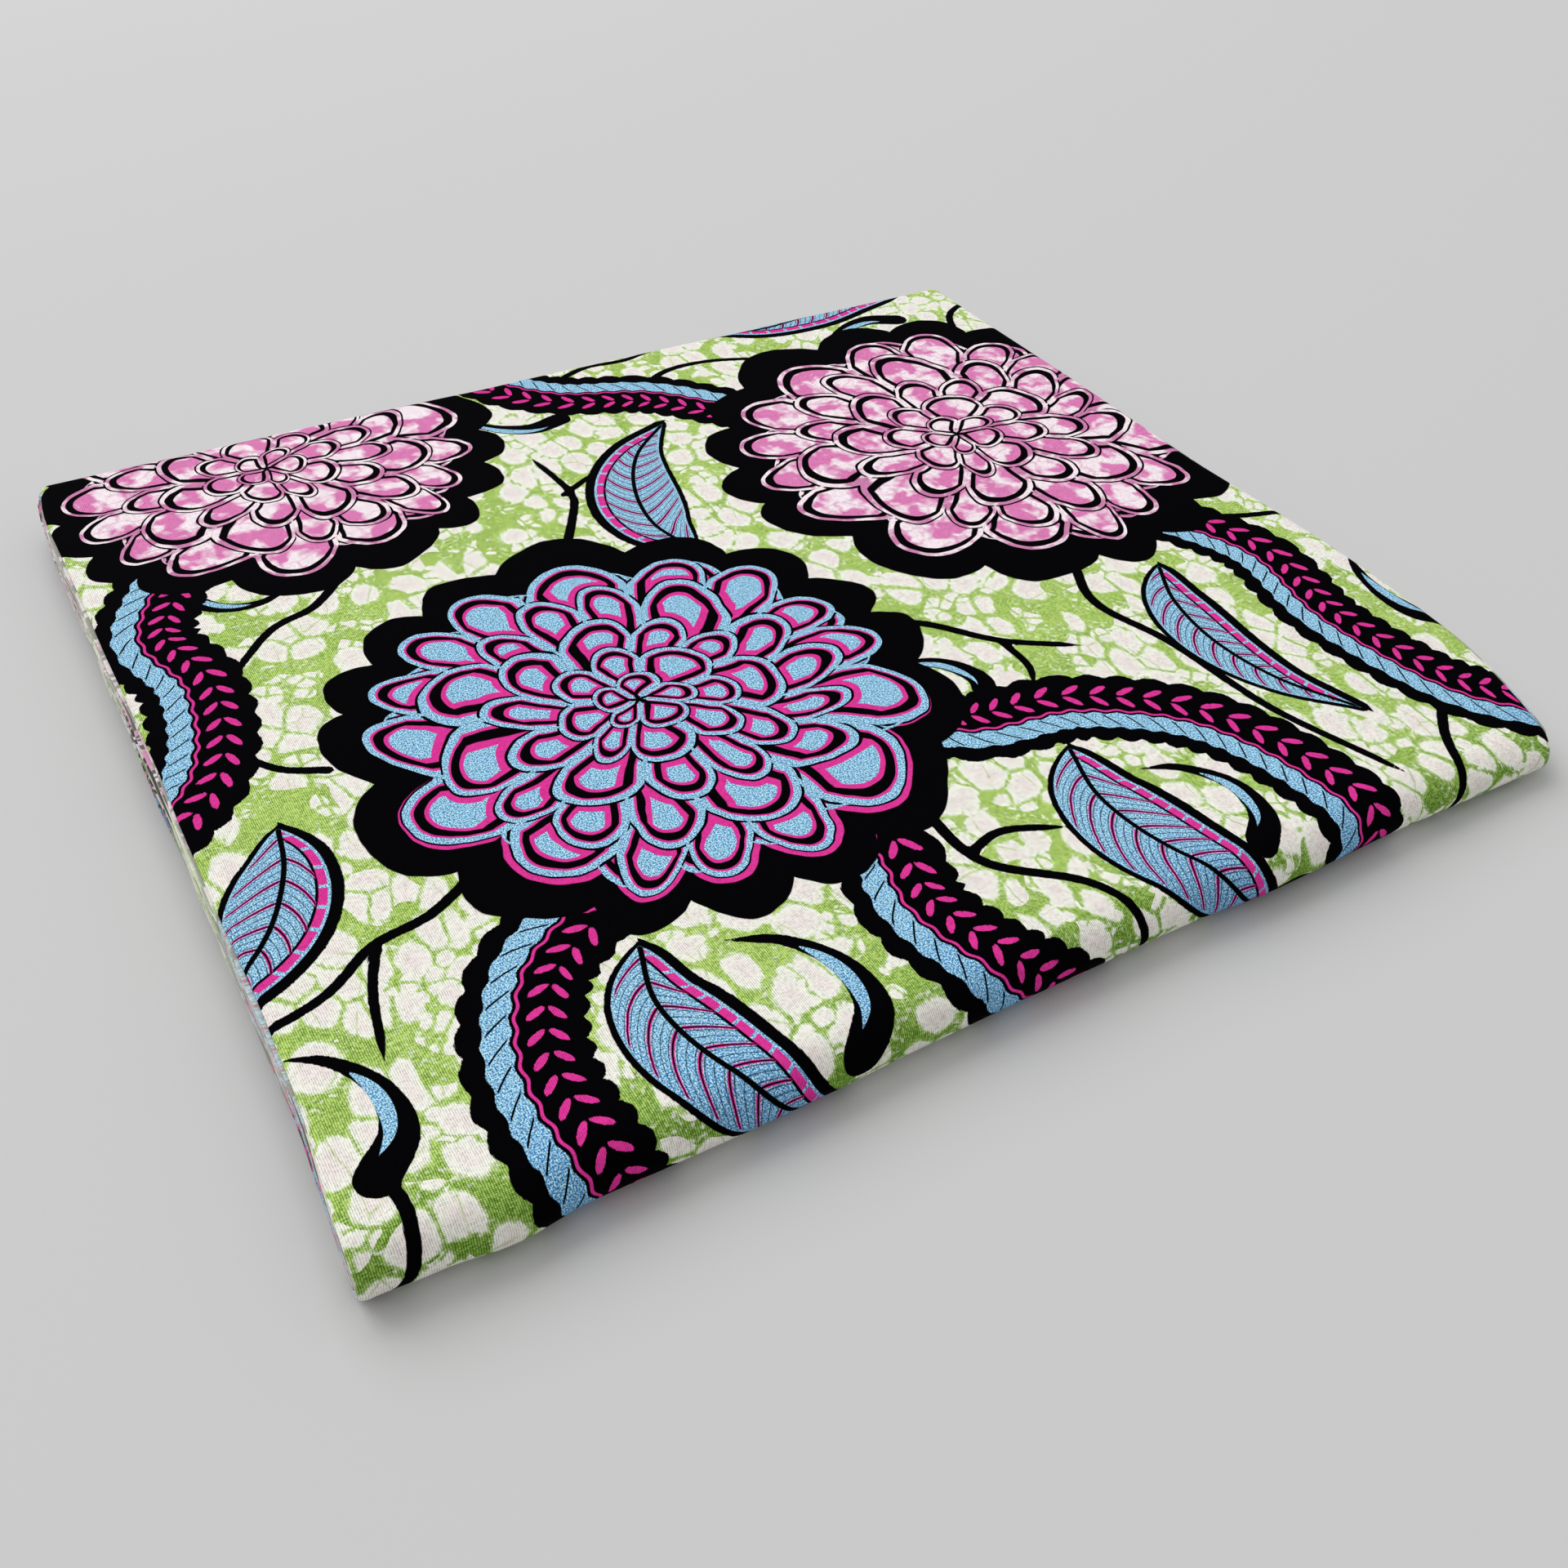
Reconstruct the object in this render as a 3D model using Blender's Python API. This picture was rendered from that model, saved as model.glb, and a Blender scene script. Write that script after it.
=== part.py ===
"""A folded bundle of wax print cotton, lying flat.

One uncut length of cloth is folded zigzag along its length into panels, and that stack is folded in
half twice across its width. The last fold is the thick round one along the front. The fold before it
lies in the upper half of the back edge, above the selvedges, which lie in the lower half. The zigzag
folds show as leaves at both ends.

+X runs along the front fold, +Y from the front fold to the back edge, and +Z up. The origin is on the
floor under the middle of the bundle. All lengths are in metres.
"""

import math

import bmesh
import bpy
import numpy as np

# The length of cloth, and how it is folded
CLOTH_WIDTH = 1.168
WIDTH_PANELS = 4
LENGTH_PANELS = 17
PLY_THICKNESS = 0.00023
BUNDLE_LENGTH = 0.3235

BUNDLE_WIDTH = CLOTH_WIDTH / WIDTH_PANELS
BUNDLE_HEIGHT = WIDTH_PANELS * LENGTH_PANELS * PLY_THICKNESS
HALF_LENGTH = BUNDLE_LENGTH / 2
HALF_WIDTH = BUNDLE_WIDTH / 2

# The wall that stands for the cloth that shows, and its gap to the layers inside
WALL = 0.0010
GAP = 0.0003

# Folds: the front one takes the whole height, the upper back one takes half of it
FRONT_RADIUS = BUNDLE_HEIGHT / 2
BACK_RADIUS = BUNDLE_HEIGHT / 4
BACK_TURN = math.radians(165)
FRONT_CENTRE_Y = -HALF_WIDTH + FRONT_RADIUS
BACK_CENTRE_Y = HALF_WIDTH - BACK_RADIUS
BACK_CENTRE_Z = BUNDLE_HEIGHT - BACK_RADIUS

# How far the cloth's ends lie inside the bundle's outline
LEFT_INSET = 0.0026
LEFT_INSET_WAVE = 0.0005
FRONT_FLARE_REACH = 0.030
RIGHT_INSET = 0.0010
SELVEDGE_INSET = 0.0016
MIDDLE_INSET = 0.0005

# The cloth rolls down a little at both ends
LEFT_ROLL_RADIUS = 0.0026
LEFT_ROLL_ANGLE = math.radians(42)
RIGHT_ROLL_RADIUS = 0.0050
RIGHT_ROLL_ANGLE = math.radians(55)

# The front right corner is rounded and pressed down
CORNER_ALONG_X = 0.013
CORNER_ALONG_Y = 0.050
CORNER_SINK = 0.32
CORNER_SINK_REACH = 0.050

# Slow unevenness of the pressed bundle
TOP_WAVE = 0.012
FRONT_LINE = (
    # place along the front fold from its left end, and how far the fold lies back from its line there
    (0.000, 0.0000),
    (0.012, 0.0003),
    (0.027, -0.0015),
    (0.042, 0.0001),
    (0.080, -0.0007),
    (0.140, 0.0002),
    (0.190, 0.0008),
    (0.250, -0.0003),
    (0.324, -0.0006),
)
RIGHT_LINE = (
    # place along the right end from the front, and how far the end lies in from its line there
    (0.000, 0.0004),
    (0.040, -0.0002),
    (0.085, -0.0004),
    (0.150, 0.0014),
    (0.220, 0.0002),
    (0.292, 0.0000),
)
FRONT_LINE_REACH = 0.020

# The layered edges: leaves of several plies in each half of the height
LEAVES_PER_HALF = 4
LEAF_PROFILE = (
    # share of the leaf's thickness, share of its reach
    (0.00, 0.35),
    (0.20, 0.85),
    (0.50, 1.00),
    (0.80, 0.85),
)
LEAF_CORNER = 0.008

# Steps along each stretch
UNDERSIDE_STEPS = 14
FRONT_STEPS = 10
TOP_STEPS = 14
BACK_STEPS = 7
LENGTH_STEPS = 16
ROLL_STEPS = 3

MERGE_DISTANCE = 0.000002


def wave(position, shift):
    """Uneven wave from -1 to 1 along a position in metres: three sines of unlike lengths added up."""
    turns = 2 * math.pi * position
    return (
        0.55 * np.sin(turns / 0.190 + 1.7 * shift)
        + 0.30 * np.sin(turns / 0.083 + 2.9 * shift)
        + 0.15 * np.sin(turns / 0.037 + 4.3 * shift)
    )


def uneven_line(table, position):
    """Offset of an edge that isn't quite straight, eased from each place in its table to the next."""
    place, offset = np.array(table).T
    share = np.interp(position, place, np.arange(len(place)))
    before = np.clip(np.floor(share).astype(int), 0, len(place) - 2)
    into = share - before
    eased = into**2 * (3.0 - 2.0 * into)
    return offset[before] + eased * (offset[before + 1] - offset[before])


def right_outline(y):
    """Right end of the bundle at y: nearly straight, with a quarter ellipse round the front corner."""
    into = np.clip((CORNER_ALONG_Y - (y + HALF_WIDTH)) / CORNER_ALONG_Y, 0.0, 1.0)
    corner = CORNER_ALONG_X * (1.0 - np.sqrt(1.0 - into**2))
    return HALF_LENGTH - corner - uneven_line(RIGHT_LINE, y + HALF_WIDTH)


def left_outline(y):
    """Left end of the bundle at y."""
    return np.full_like(y, -HALF_LENGTH)


def left_end(y):
    """Left end of the cloth that shows: a little inside the outline, uneven, and out to it at the fold."""
    inset = LEFT_INSET + LEFT_INSET_WAVE * wave(y, 0.4)
    return -HALF_LENGTH + inset * (1.0 - np.exp(-(((y + HALF_WIDTH) / FRONT_FLARE_REACH) ** 2)))


def right_end(y):
    """Right end of the cloth that shows."""
    return right_outline(y) - RIGHT_INSET


def settle(points):
    """Presses the front right corner down and adds the slow unevenness of the top and of the front fold.

    Heights are scaled, so the underside stays flat on the floor and no layers cross.
    """
    x, y, z = np.moveaxis(points, -1, 0)
    from_corner = np.hypot((x - HALF_LENGTH) / CORNER_SINK_REACH, (y + HALF_WIDTH) / CORNER_SINK_REACH)
    sink = CORNER_SINK * np.exp(-(from_corner**2))
    uneven = TOP_WAVE * (0.5 * wave(x + 0.3 * y, 1.0) + 0.5 * wave(y - 0.4 * x, 2.0))
    edge = uneven_line(FRONT_LINE, x + HALF_LENGTH) * np.exp(-(y + HALF_WIDTH) / FRONT_LINE_REACH)
    return np.stack([x, y + edge, z * (1.0 - sink + uneven - TOP_WAVE)], axis=-1)


def side_steps(end_y, steps):
    """Places from the front fold's centre to a back end, closer together towards both ends."""
    share = (1.0 - np.cos(np.linspace(0.0, math.pi, steps + 1))) / 2
    share = 0.5 * share + 0.5 * np.linspace(0.0, 1.0, steps + 1)
    return FRONT_CENTRE_Y + share * (end_y - FRONT_CENTRE_Y)


def cloth_section(with_back_fold, under_end_y):
    """Section of the cloth across the bundle, as places and outward directions in Y and Z.

    It runs along the underside to the front, half way round the front fold, and back along the top.
    With the back fold it goes on round the upper back edge.
    """
    under = side_steps(under_end_y, UNDERSIDE_STEPS)[::-1]
    angle = np.linspace(0.0, math.pi, FRONT_STEPS + 1)[1:-1]
    over = side_steps(BACK_CENTRE_Y, TOP_STEPS)
    y = [under, FRONT_CENTRE_Y - FRONT_RADIUS * np.sin(angle), over]
    z = [
        np.zeros_like(under),
        FRONT_RADIUS - FRONT_RADIUS * np.cos(angle),
        np.full_like(over, BUNDLE_HEIGHT),
    ]
    out_y = [np.zeros_like(under), -np.sin(angle), np.zeros_like(over)]
    out_z = [-np.ones_like(under), -np.cos(angle), np.ones_like(over)]
    if with_back_fold:
        turn = np.linspace(0.0, BACK_TURN, BACK_STEPS + 1)[1:]
        y.append(BACK_CENTRE_Y + BACK_RADIUS * np.sin(turn))
        z.append(BACK_CENTRE_Z + BACK_RADIUS * np.cos(turn))
        out_y.append(np.sin(turn))
        out_z.append(np.cos(turn))
    return tuple(np.concatenate(part) for part in (y, z, out_y, out_z))


def cloth_grid(section, depth):
    """Grid of the cloth at a depth under its outer face: one row for each place along its section.

    Across each row the cloth rolls inwards at both ends, along an arc, and is straight between them.
    """
    y, z, out_y, out_z = section
    left_angle = np.linspace(LEFT_ROLL_ANGLE, 0.0, ROLL_STEPS + 1)
    right_angle = np.linspace(0.0, RIGHT_ROLL_ANGLE, ROLL_STEPS + 1)
    left_x = LEFT_ROLL_RADIUS * (math.sin(LEFT_ROLL_ANGLE) - np.sin(left_angle))
    right_x = RIGHT_ROLL_RADIUS * (np.sin(right_angle) - math.sin(RIGHT_ROLL_ANGLE))
    share = np.linspace(0.0, 1.0, LENGTH_STEPS + 1)[1:-1]
    left_x = left_end(y)[:, None] + left_x
    right_x = right_end(y)[:, None] + right_x
    between = left_x[:, -1:] + share * (right_x[:, :1] - left_x[:, -1:])
    x = np.concatenate([left_x, between, right_x], axis=1)
    inwards = np.concatenate(
        [
            LEFT_ROLL_RADIUS * (1 - np.cos(left_angle)),
            np.zeros_like(share),
            RIGHT_ROLL_RADIUS * (1 - np.cos(right_angle)),
        ]
    )
    inwards = inwards[None, :] + depth
    return np.stack(
        [x, y[:, None] - out_y[:, None] * inwards, z[:, None] - out_z[:, None] * inwards], axis=-1
    )


def grid_faces(rows, columns, first=0):
    """Four-sided faces of a grid whose points are stored row by row."""
    corner = first + np.arange(rows - 1)[:, None] * columns + np.arange(columns - 1)[None, :]
    return np.stack([corner, corner + 1, corner + columns + 1, corner + columns], axis=-1).reshape(-1, 4)


def rim_loop(rows, columns):
    """Places of a grid's rim, once round: first column, last row, last column and first row."""
    index = np.arange(rows * columns).reshape(rows, columns)
    return np.concatenate([index[:-1, 0], index[-1, :-1], index[:0:-1, -1], index[0, :0:-1]])


def add_object(name, points, faces, colour, roughness):
    """Makes one closed solid of its points and faces, with its own material."""
    mesh = bpy.data.meshes.new(name)
    mesh.from_pydata(points.tolist(), [], faces)
    body = bmesh.new()
    body.from_mesh(mesh)
    bmesh.ops.remove_doubles(body, verts=body.verts, dist=MERGE_DISTANCE)
    bmesh.ops.dissolve_degenerate(body, edges=body.edges, dist=MERGE_DISTANCE)
    bmesh.ops.triangulate(body, faces=body.faces)
    bmesh.ops.recalc_face_normals(body, faces=body.faces)
    body.to_mesh(mesh)
    body.free()
    mesh.shade_smooth()
    mesh.set_sharp_from_angle(angle=math.radians(40))
    material = bpy.data.materials.new(name)
    material.use_nodes = True
    shader = material.node_tree.nodes["Principled BSDF"]
    shader.inputs["Base Color"].default_value = (*colour, 1.0)
    shader.inputs["Roughness"].default_value = roughness
    shader.inputs["Metallic"].default_value = 0.0
    mesh.materials.append(material)
    thing = bpy.data.objects.new(name, mesh)
    bpy.context.scene.collection.objects.link(thing)
    return thing


def make_outer_cloth():
    """The stretch of cloth that shows: underside, front fold, top and upper back fold, as one wall."""
    section = cloth_section(True, HALF_WIDTH - SELVEDGE_INSET)
    outer = cloth_grid(section, 0.0)
    inner = cloth_grid(section, WALL)
    rows, columns = outer.shape[:2]
    points = settle(np.concatenate([outer.reshape(-1, 3), inner.reshape(-1, 3)]))
    rim = rim_loop(rows, columns)
    onward = np.roll(rim, -1)
    count = rows * columns
    edge = np.stack([rim, onward, onward + count, rim + count], axis=-1)
    faces = np.concatenate([grid_faces(rows, columns), grid_faces(rows, columns, count)[:, ::-1], edge])
    return add_object("outer_cloth", points, faces.tolist(), (0.27, 0.38, 0.16), 0.7)


def leaf_levels():
    """The leaves' profile from the outermost to the middle: leaf, share of half height, share of reach."""
    leaf = np.repeat(np.arange(LEAVES_PER_HALF), len(LEAF_PROFILE))
    share, reach = np.tile(np.array(LEAF_PROFILE), (LEAVES_PER_HALF, 1)).T
    return leaf, (leaf + share) / LEAVES_PER_HALF, reach


def leaf_reach(position, leaf, upper, most):
    """How far a leaf stands out from the cloth's end, uneven along the edge and unlike its neighbours."""
    return most * (0.62 + 0.38 * wave(position, 1.3 * leaf + 5.1 * upper))


def corner_taper(distance):
    """Rounds the leaves off towards an upright corner, as a quarter circle."""
    into = np.clip(1.0 - distance / LEAF_CORNER, 0.0, 1.0)
    return np.sqrt(1.0 - into**2)


def lower_end(share):
    """Back end of the lower half, at the selvedges, drawn in at the middle of the height."""
    return BACK_CENTRE_Y - MIDDLE_INSET if share >= 1.0 else HALF_WIDTH - SELVEDGE_INSET


def upper_end(share, depth, roll):
    """Back end of the upper half, inside the back fold, which the roll at the ends makes smaller."""
    room = BACK_RADIUS - WALL - GAP - roll
    height = BACK_RADIUS - depth
    inside = BACK_CENTRE_Y + np.sqrt(np.clip(room**2 - height**2, 0.0, None))
    below = np.full_like(inside, BACK_CENTRE_Y - MIDDLE_INSET)
    return below if share >= 1.0 else np.where(-height < room, inside, below)


def side_line(share, leaf, reach, roll, end_x, outline_x):
    """One line of a layered end: along the underside from the back, round the front, and along the top."""
    depth = np.array(WALL + GAP + roll)
    depth = depth + share * (FRONT_RADIUS - depth)
    low_end = lower_end(share)
    top_end = float(upper_end(share, depth, roll))
    under = side_steps(low_end, UNDERSIDE_STEPS)[::-1]
    over = side_steps(top_end, TOP_STEPS)
    angle = np.linspace(0.0, math.pi, FRONT_STEPS + 1)[1:-1]
    radius = FRONT_RADIUS - depth
    y = np.concatenate([under, FRONT_CENTRE_Y - radius * np.sin(angle), over])
    z = np.concatenate(
        [
            np.full_like(under, depth),
            FRONT_RADIUS - radius * np.cos(angle),
            np.full_like(over, BUNDLE_HEIGHT - depth),
        ]
    )
    to_corner = np.concatenate([low_end - under, np.full_like(angle, BUNDLE_WIDTH), top_end - over])
    upper = z / BUNDLE_HEIGHT
    room = outline_x(y) - end_x(y)
    stand_out = reach * corner_taper(to_corner) * leaf_reach(y, leaf, upper, room)
    return np.stack([end_x(y) + stand_out, y, z], axis=-1)


def level_loop(row_x, row_roll, share, leaf, reach):
    """One closed line round the layered edges, at a share of the way from the cloth's rim to the middle.

    It runs along the left end from the back of the underside, round the front and back along the top,
    then along the back edge, the same way home along the right end, and along the back edge below.
    """
    left = side_line(share, leaf, reach, row_roll[0], left_end, left_outline)
    right = side_line(share, leaf + LEAVES_PER_HALF, reach, row_roll[-1], right_end, right_outline)
    along = (row_x - row_x[0]) / (row_x[-1] - row_x[0])
    depth = WALL + GAP + row_roll
    depth = depth + share * (FRONT_RADIUS - depth)
    from_end = np.minimum(row_x - row_x[0], row_x[-1] - row_x)
    back_reach = leaf_reach(row_x, leaf + 2 * LEAVES_PER_HALF, 0.0, SELVEDGE_INSET)
    stand_out = reach * corner_taper(from_end) * back_reach
    top_x = left[-1, 0] + along * (right[-1, 0] - left[-1, 0])
    low_x = left[0, 0] + along * (right[0, 0] - left[0, 0])
    top = np.stack([top_x, upper_end(share, depth, row_roll), BUNDLE_HEIGHT - depth], axis=-1)
    low = np.stack([low_x, lower_end(share) + stand_out, depth], axis=-1)
    return np.concatenate([left[:-1], top[:-1], right[:0:-1], low[:0:-1]])


def make_inner_layers():
    """The hidden layers as one rounded solid, with leaves at the left, right and back edges."""
    section = cloth_section(False, HALF_WIDTH - SELVEDGE_INSET)
    sheet = cloth_grid(section, WALL + GAP)
    rows, columns = sheet.shape[:2]
    row_x = sheet[0, :, 0]
    row_roll = sheet[0, :, 2] - (WALL + GAP)
    levels = list(zip(*leaf_levels()))[1:]
    loops = [level_loop(row_x, row_roll, share, leaf, reach) for leaf, share, reach in levels]
    loops.append(level_loop(row_x, row_roll, 1.0, LEAVES_PER_HALF, 0.0))
    loops = np.array(loops)
    count = rows * columns
    rim = rim_loop(rows, columns)
    points = settle(np.concatenate([sheet.reshape(-1, 3), loops.reshape(-1, 3)]))
    ring = count + np.arange(loops.shape[0] * loops.shape[1]).reshape(loops.shape[:2])
    ring = np.concatenate([rim[None, :], ring])
    onward = np.roll(ring, -1, axis=1)
    bands = np.stack([ring[:-1], onward[:-1], onward[1:], ring[1:]], axis=-1).reshape(-1, 4)
    faces = np.concatenate([grid_faces(rows, columns), bands])
    return add_object("inner_layers", points, faces.tolist(), (0.33, 0.27, 0.30), 0.8)


def main():
    """Clears the scene and builds the bundle."""
    for thing in list(bpy.data.objects):
        bpy.data.objects.remove(thing)
    make_outer_cloth()
    make_inner_layers()


main()
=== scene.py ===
"""Folded bundle of wax print cotton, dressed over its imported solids.

Each operator makes one piece or group of pieces: the cloth that shows, the layered edges, and the stage.
The print is laid out on the flat cloth, in millimetres, and every point of the folded cloth knows its
place there. Distances to the print's bands, leaves and stems are worked out and kept on the mesh. The
material draws inks, petals, wax bubbles and weave from them.

+X runs along the front fold, +Y from the front fold to the back edge, and +Z up, in metres.
"""

import itertools
import math

import bmesh
import bpy
import numpy as np
from mathutils import Matrix, Vector


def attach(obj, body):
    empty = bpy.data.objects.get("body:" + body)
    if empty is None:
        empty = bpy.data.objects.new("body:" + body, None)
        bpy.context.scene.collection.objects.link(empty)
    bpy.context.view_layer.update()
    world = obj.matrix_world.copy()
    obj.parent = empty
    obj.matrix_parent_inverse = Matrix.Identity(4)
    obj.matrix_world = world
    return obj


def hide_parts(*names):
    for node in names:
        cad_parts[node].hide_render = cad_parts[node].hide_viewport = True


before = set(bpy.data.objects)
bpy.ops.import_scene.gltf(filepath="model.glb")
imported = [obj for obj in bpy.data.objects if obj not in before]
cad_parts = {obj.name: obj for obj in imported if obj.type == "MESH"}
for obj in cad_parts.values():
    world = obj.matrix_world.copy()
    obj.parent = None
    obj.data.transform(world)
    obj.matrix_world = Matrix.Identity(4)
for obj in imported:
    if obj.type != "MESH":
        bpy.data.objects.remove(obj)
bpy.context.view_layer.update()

bl_info = {
    "name": "Folded Wax Print",
    "version": (1, 0, 0),
    "blender": (4, 5, 0),
    "location": "View3D > Sidebar > Folded Cloth",
    "description": "Makes a folded bundle of wax print cotton over its frame",
    "category": "Object",
}

BODY = "root"
MM = 0.001

# The length of cloth, and how it is folded
CLOTH_WIDTH = 1.168
WIDTH_PANELS = 4
LENGTH_PANELS = 17
PLY_THICKNESS = 0.00023
BUNDLE_LENGTH = 0.3235

BUNDLE_WIDTH = CLOTH_WIDTH / WIDTH_PANELS
BUNDLE_HEIGHT = WIDTH_PANELS * LENGTH_PANELS * PLY_THICKNESS
HALF_LENGTH = BUNDLE_LENGTH / 2
HALF_WIDTH = BUNDLE_WIDTH / 2
QUARTER = BUNDLE_HEIGHT / 4

# Folds: the front one takes the whole height, the upper back one takes half of it
FRONT_RADIUS = BUNDLE_HEIGHT / 2
BACK_RADIUS = QUARTER
BACK_TURN = math.radians(165)
FRONT_CENTRE_Y = -HALF_WIDTH + FRONT_RADIUS
BACK_CENTRE_Y = HALF_WIDTH - BACK_RADIUS

# How far the cloth's ends lie inside the bundle's outline
LEFT_INSET = 0.0016
LEFT_INSET_WAVE = 0.0004
FRONT_FLARE = 0.0021
FRONT_FLARE_REACH = 0.030
BACK_CORNER_ALONG_X = 0.0048
BACK_CORNER_ALONG_Y = 0.030
RIGHT_INSET = 0.0010
SELVEDGE_INSET = 0.0016

# The cloth rolls down a little at both ends
LEFT_ROLL_RADIUS = 0.0026
LEFT_ROLL_ANGLE = math.radians(42)
LEFT_ROLL_STEPS = 5
RIGHT_ROLL_RADIUS = 0.0050
RIGHT_ROLL_ANGLE = math.radians(55)
RIGHT_ROLL_STEPS = 8

# The front right corner is rounded and pressed down
CORNER_ALONG_X = 0.013
CORNER_ALONG_Y = 0.050
CORNER_SINK = 0.32
CORNER_SINK_REACH = 0.050

# Slow unevenness of the pressed bundle
TOP_WAVE = 0.012
FRONT_LINE_REACH = 0.020
FRONT_LINE = (
    # place along the front fold from its left end, and how far the fold lies back from its line there
    (0.000, 0.0000),
    (0.012, -0.0007),
    (0.027, -0.0026),
    (0.042, -0.0009),
    (0.080, -0.0016),
    (0.140, -0.0006),
    (0.190, -0.0008),
    (0.215, -0.0022),
    (0.250, -0.0016),
    (0.324, -0.0021),
)
RIGHT_LINE = (
    # place along the right end from the front, and how far the end lies in from its line there
    (0.000, 0.0034),
    (0.050, -0.0002),
    (0.085, -0.0004),
    (0.150, 0.0014),
    (0.220, 0.0002),
    (0.292, 0.0000),
)

# Developed lengths of the cloth's stretches, counted from the foot of the front fold
FRONT_RUN = math.pi * FRONT_RADIUS
TOP_RUN = BACK_CENTRE_Y - FRONT_CENTRE_Y
BACK_RUN = BACK_RADIUS * BACK_TURN
UNDER_RUN = HALF_WIDTH - SELVEDGE_INSET - FRONT_CENTRE_Y

# The shell of cloth: its thickness at the ends, and how deep its hidden side lies further in
RIM_THICKNESS = 0.00025
HIDDEN_THICKNESS = 0.00060
HIDDEN_REACH = 0.006
HIDDEN_EVERY = 8

# The layers under the cloth: their gap to it, and the thin ends of its plies
LAYER_GAP = 0.00010
LAYER_DEPTH = 0.00095
LAYER_CORNER_REACH = 0.016
LOOPS_PER_BAND = 8.5
STEPS_PER_LOOP = 8
STEPS_PER_PLY = 4
STRAIGHT_STEPS = 89
SELVEDGE_STEPS = 2
TURN_STEPS = 12
NOTCH_STEPS = 3
ACROSS_STEPS = 100
PLY_BULGE = 0.00015
PLY_VALLEY = 0.00020
CORNER_TAPER = 0.004

# How far plies stand out from their middle place: a slow wave along them, and a step from ply to ply
LEAST_LEVEL = 0.05
END_WAVE = 0.34
END_STEP = 0.16
BACK_WAVE = 0.38
BACK_STEP = 0.12

# Depth of the layers' outer side at both ends, under the rolled ends of the cloth
LEFT_DEPTH = LEFT_ROLL_RADIUS * (1.0 - math.cos(LEFT_ROLL_ANGLE)) + RIM_THICKNESS + LAYER_GAP
RIGHT_DEPTH = RIGHT_ROLL_RADIUS * (1.0 - math.cos(RIGHT_ROLL_ANGLE)) + RIM_THICKNESS + LAYER_GAP

# Soft troughs and ridges of the pressed cloth, which fade where it turns under
CREASE_FADE = 0.7
CREASES = (
    # place along the front fold and back from it, direction, half length, half width, height
    (0.030, 0.004, 78.0, 0.016, 0.0060, -0.00035),
    (0.016, 0.003, 66.0, 0.014, 0.0050, 0.00022),
    (0.052, 0.003, 97.0, 0.018, 0.0070, 0.00020),
    (0.112, 0.002, 84.0, 0.020, 0.0080, -0.00022),
    (0.176, 0.004, 99.0, 0.022, 0.0090, -0.00030),
    (0.205, 0.003, 80.0, 0.016, 0.0070, 0.00020),
    (0.262, 0.006, 62.0, 0.024, 0.0080, -0.00028),
    (0.296, 0.040, 118.0, 0.034, 0.0100, 0.00030),
    (0.008, 0.110, 8.0, 0.014, 0.0120, -0.00022),
    (0.010, 0.190, -6.0, 0.016, 0.0110, -0.00025),
    (0.312, 0.150, 4.0, 0.016, 0.0160, -0.00030),
    (0.140, 0.286, 88.0, 0.016, 0.0100, -0.00022),
    (0.236, 0.284, 95.0, 0.018, 0.0120, -0.00020),
)

# Points nearer than this are one, and folds sharper than this stay sharp
SAME_PLACE = 0.000001
SHARP_ANGLE = math.radians(50)

# Finish of the cotton, and the stage
PRINT_ROUGHNESS = 0.82
GLITTER_GLOSS = 0.12
EDGE_ROUGHNESS = 0.85
COTTON_SHINE = 0.012
THREAD_HEIGHT = 0.00005
FLOOR_HEIGHT = -0.0002
LIGHT_PLACE = (-0.7, 2.6, 3.2)

# Camera, from the photograph's perspective
CAMERA_PLACE = (-0.18132, -0.30203, 0.25082)
CAMERA_RIGHT = (0.85903, -0.51072, 0.03520)
CAMERA_FORWARD = (0.40608, 0.63791, -0.65435)
PHOTO_SIDE = 1920
FOCAL_PIXELS = 1890.6
SENSOR_WIDTH = 36.0

# The print on the flat cloth, in millimetres: across from the left end, and up from the front line
MOTIF_REPEAT = (161.5, -345.0)
REPEATS = ((0.0, 0.0), MOTIF_REPEAT, (-MOTIF_REPEAT[0], MOTIF_REPEAT[1]))
BLOOM_SIZE = 75.0
BLOOMS = (
    # across, up, radius, turn in degrees, blue or not
    (112.0, 116.0, 70.0, 10.0, 1.0),
    (264.0, 192.0, 75.0, 40.0, 0.0),
    (66.0, 270.0, 62.0, 75.0, 0.0),
)
RINGS = (
    # tip radius, petals, turn as a share of a petal, depth of the notches, lean of the petals' sides
    (69.0, 16, 0.46, 0.13, 0.000),
    (75.0, 16, 0.00, 0.18, 0.004),
    (58.0, 14, 0.30, 0.20, -0.006),
    (42.0, 11, 0.75, 0.22, 0.007),
    (27.0, 8, 0.10, 0.25, -0.010),
    (14.0, 5, 0.60, 0.34, 0.012),
)
PETAL_POINT = 2.2
PETAL_UNEVEN = 0.07
PETAL_SPREAD = 0.016
HALO = 84.5
HALO_NOTCH = 0.10

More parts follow.
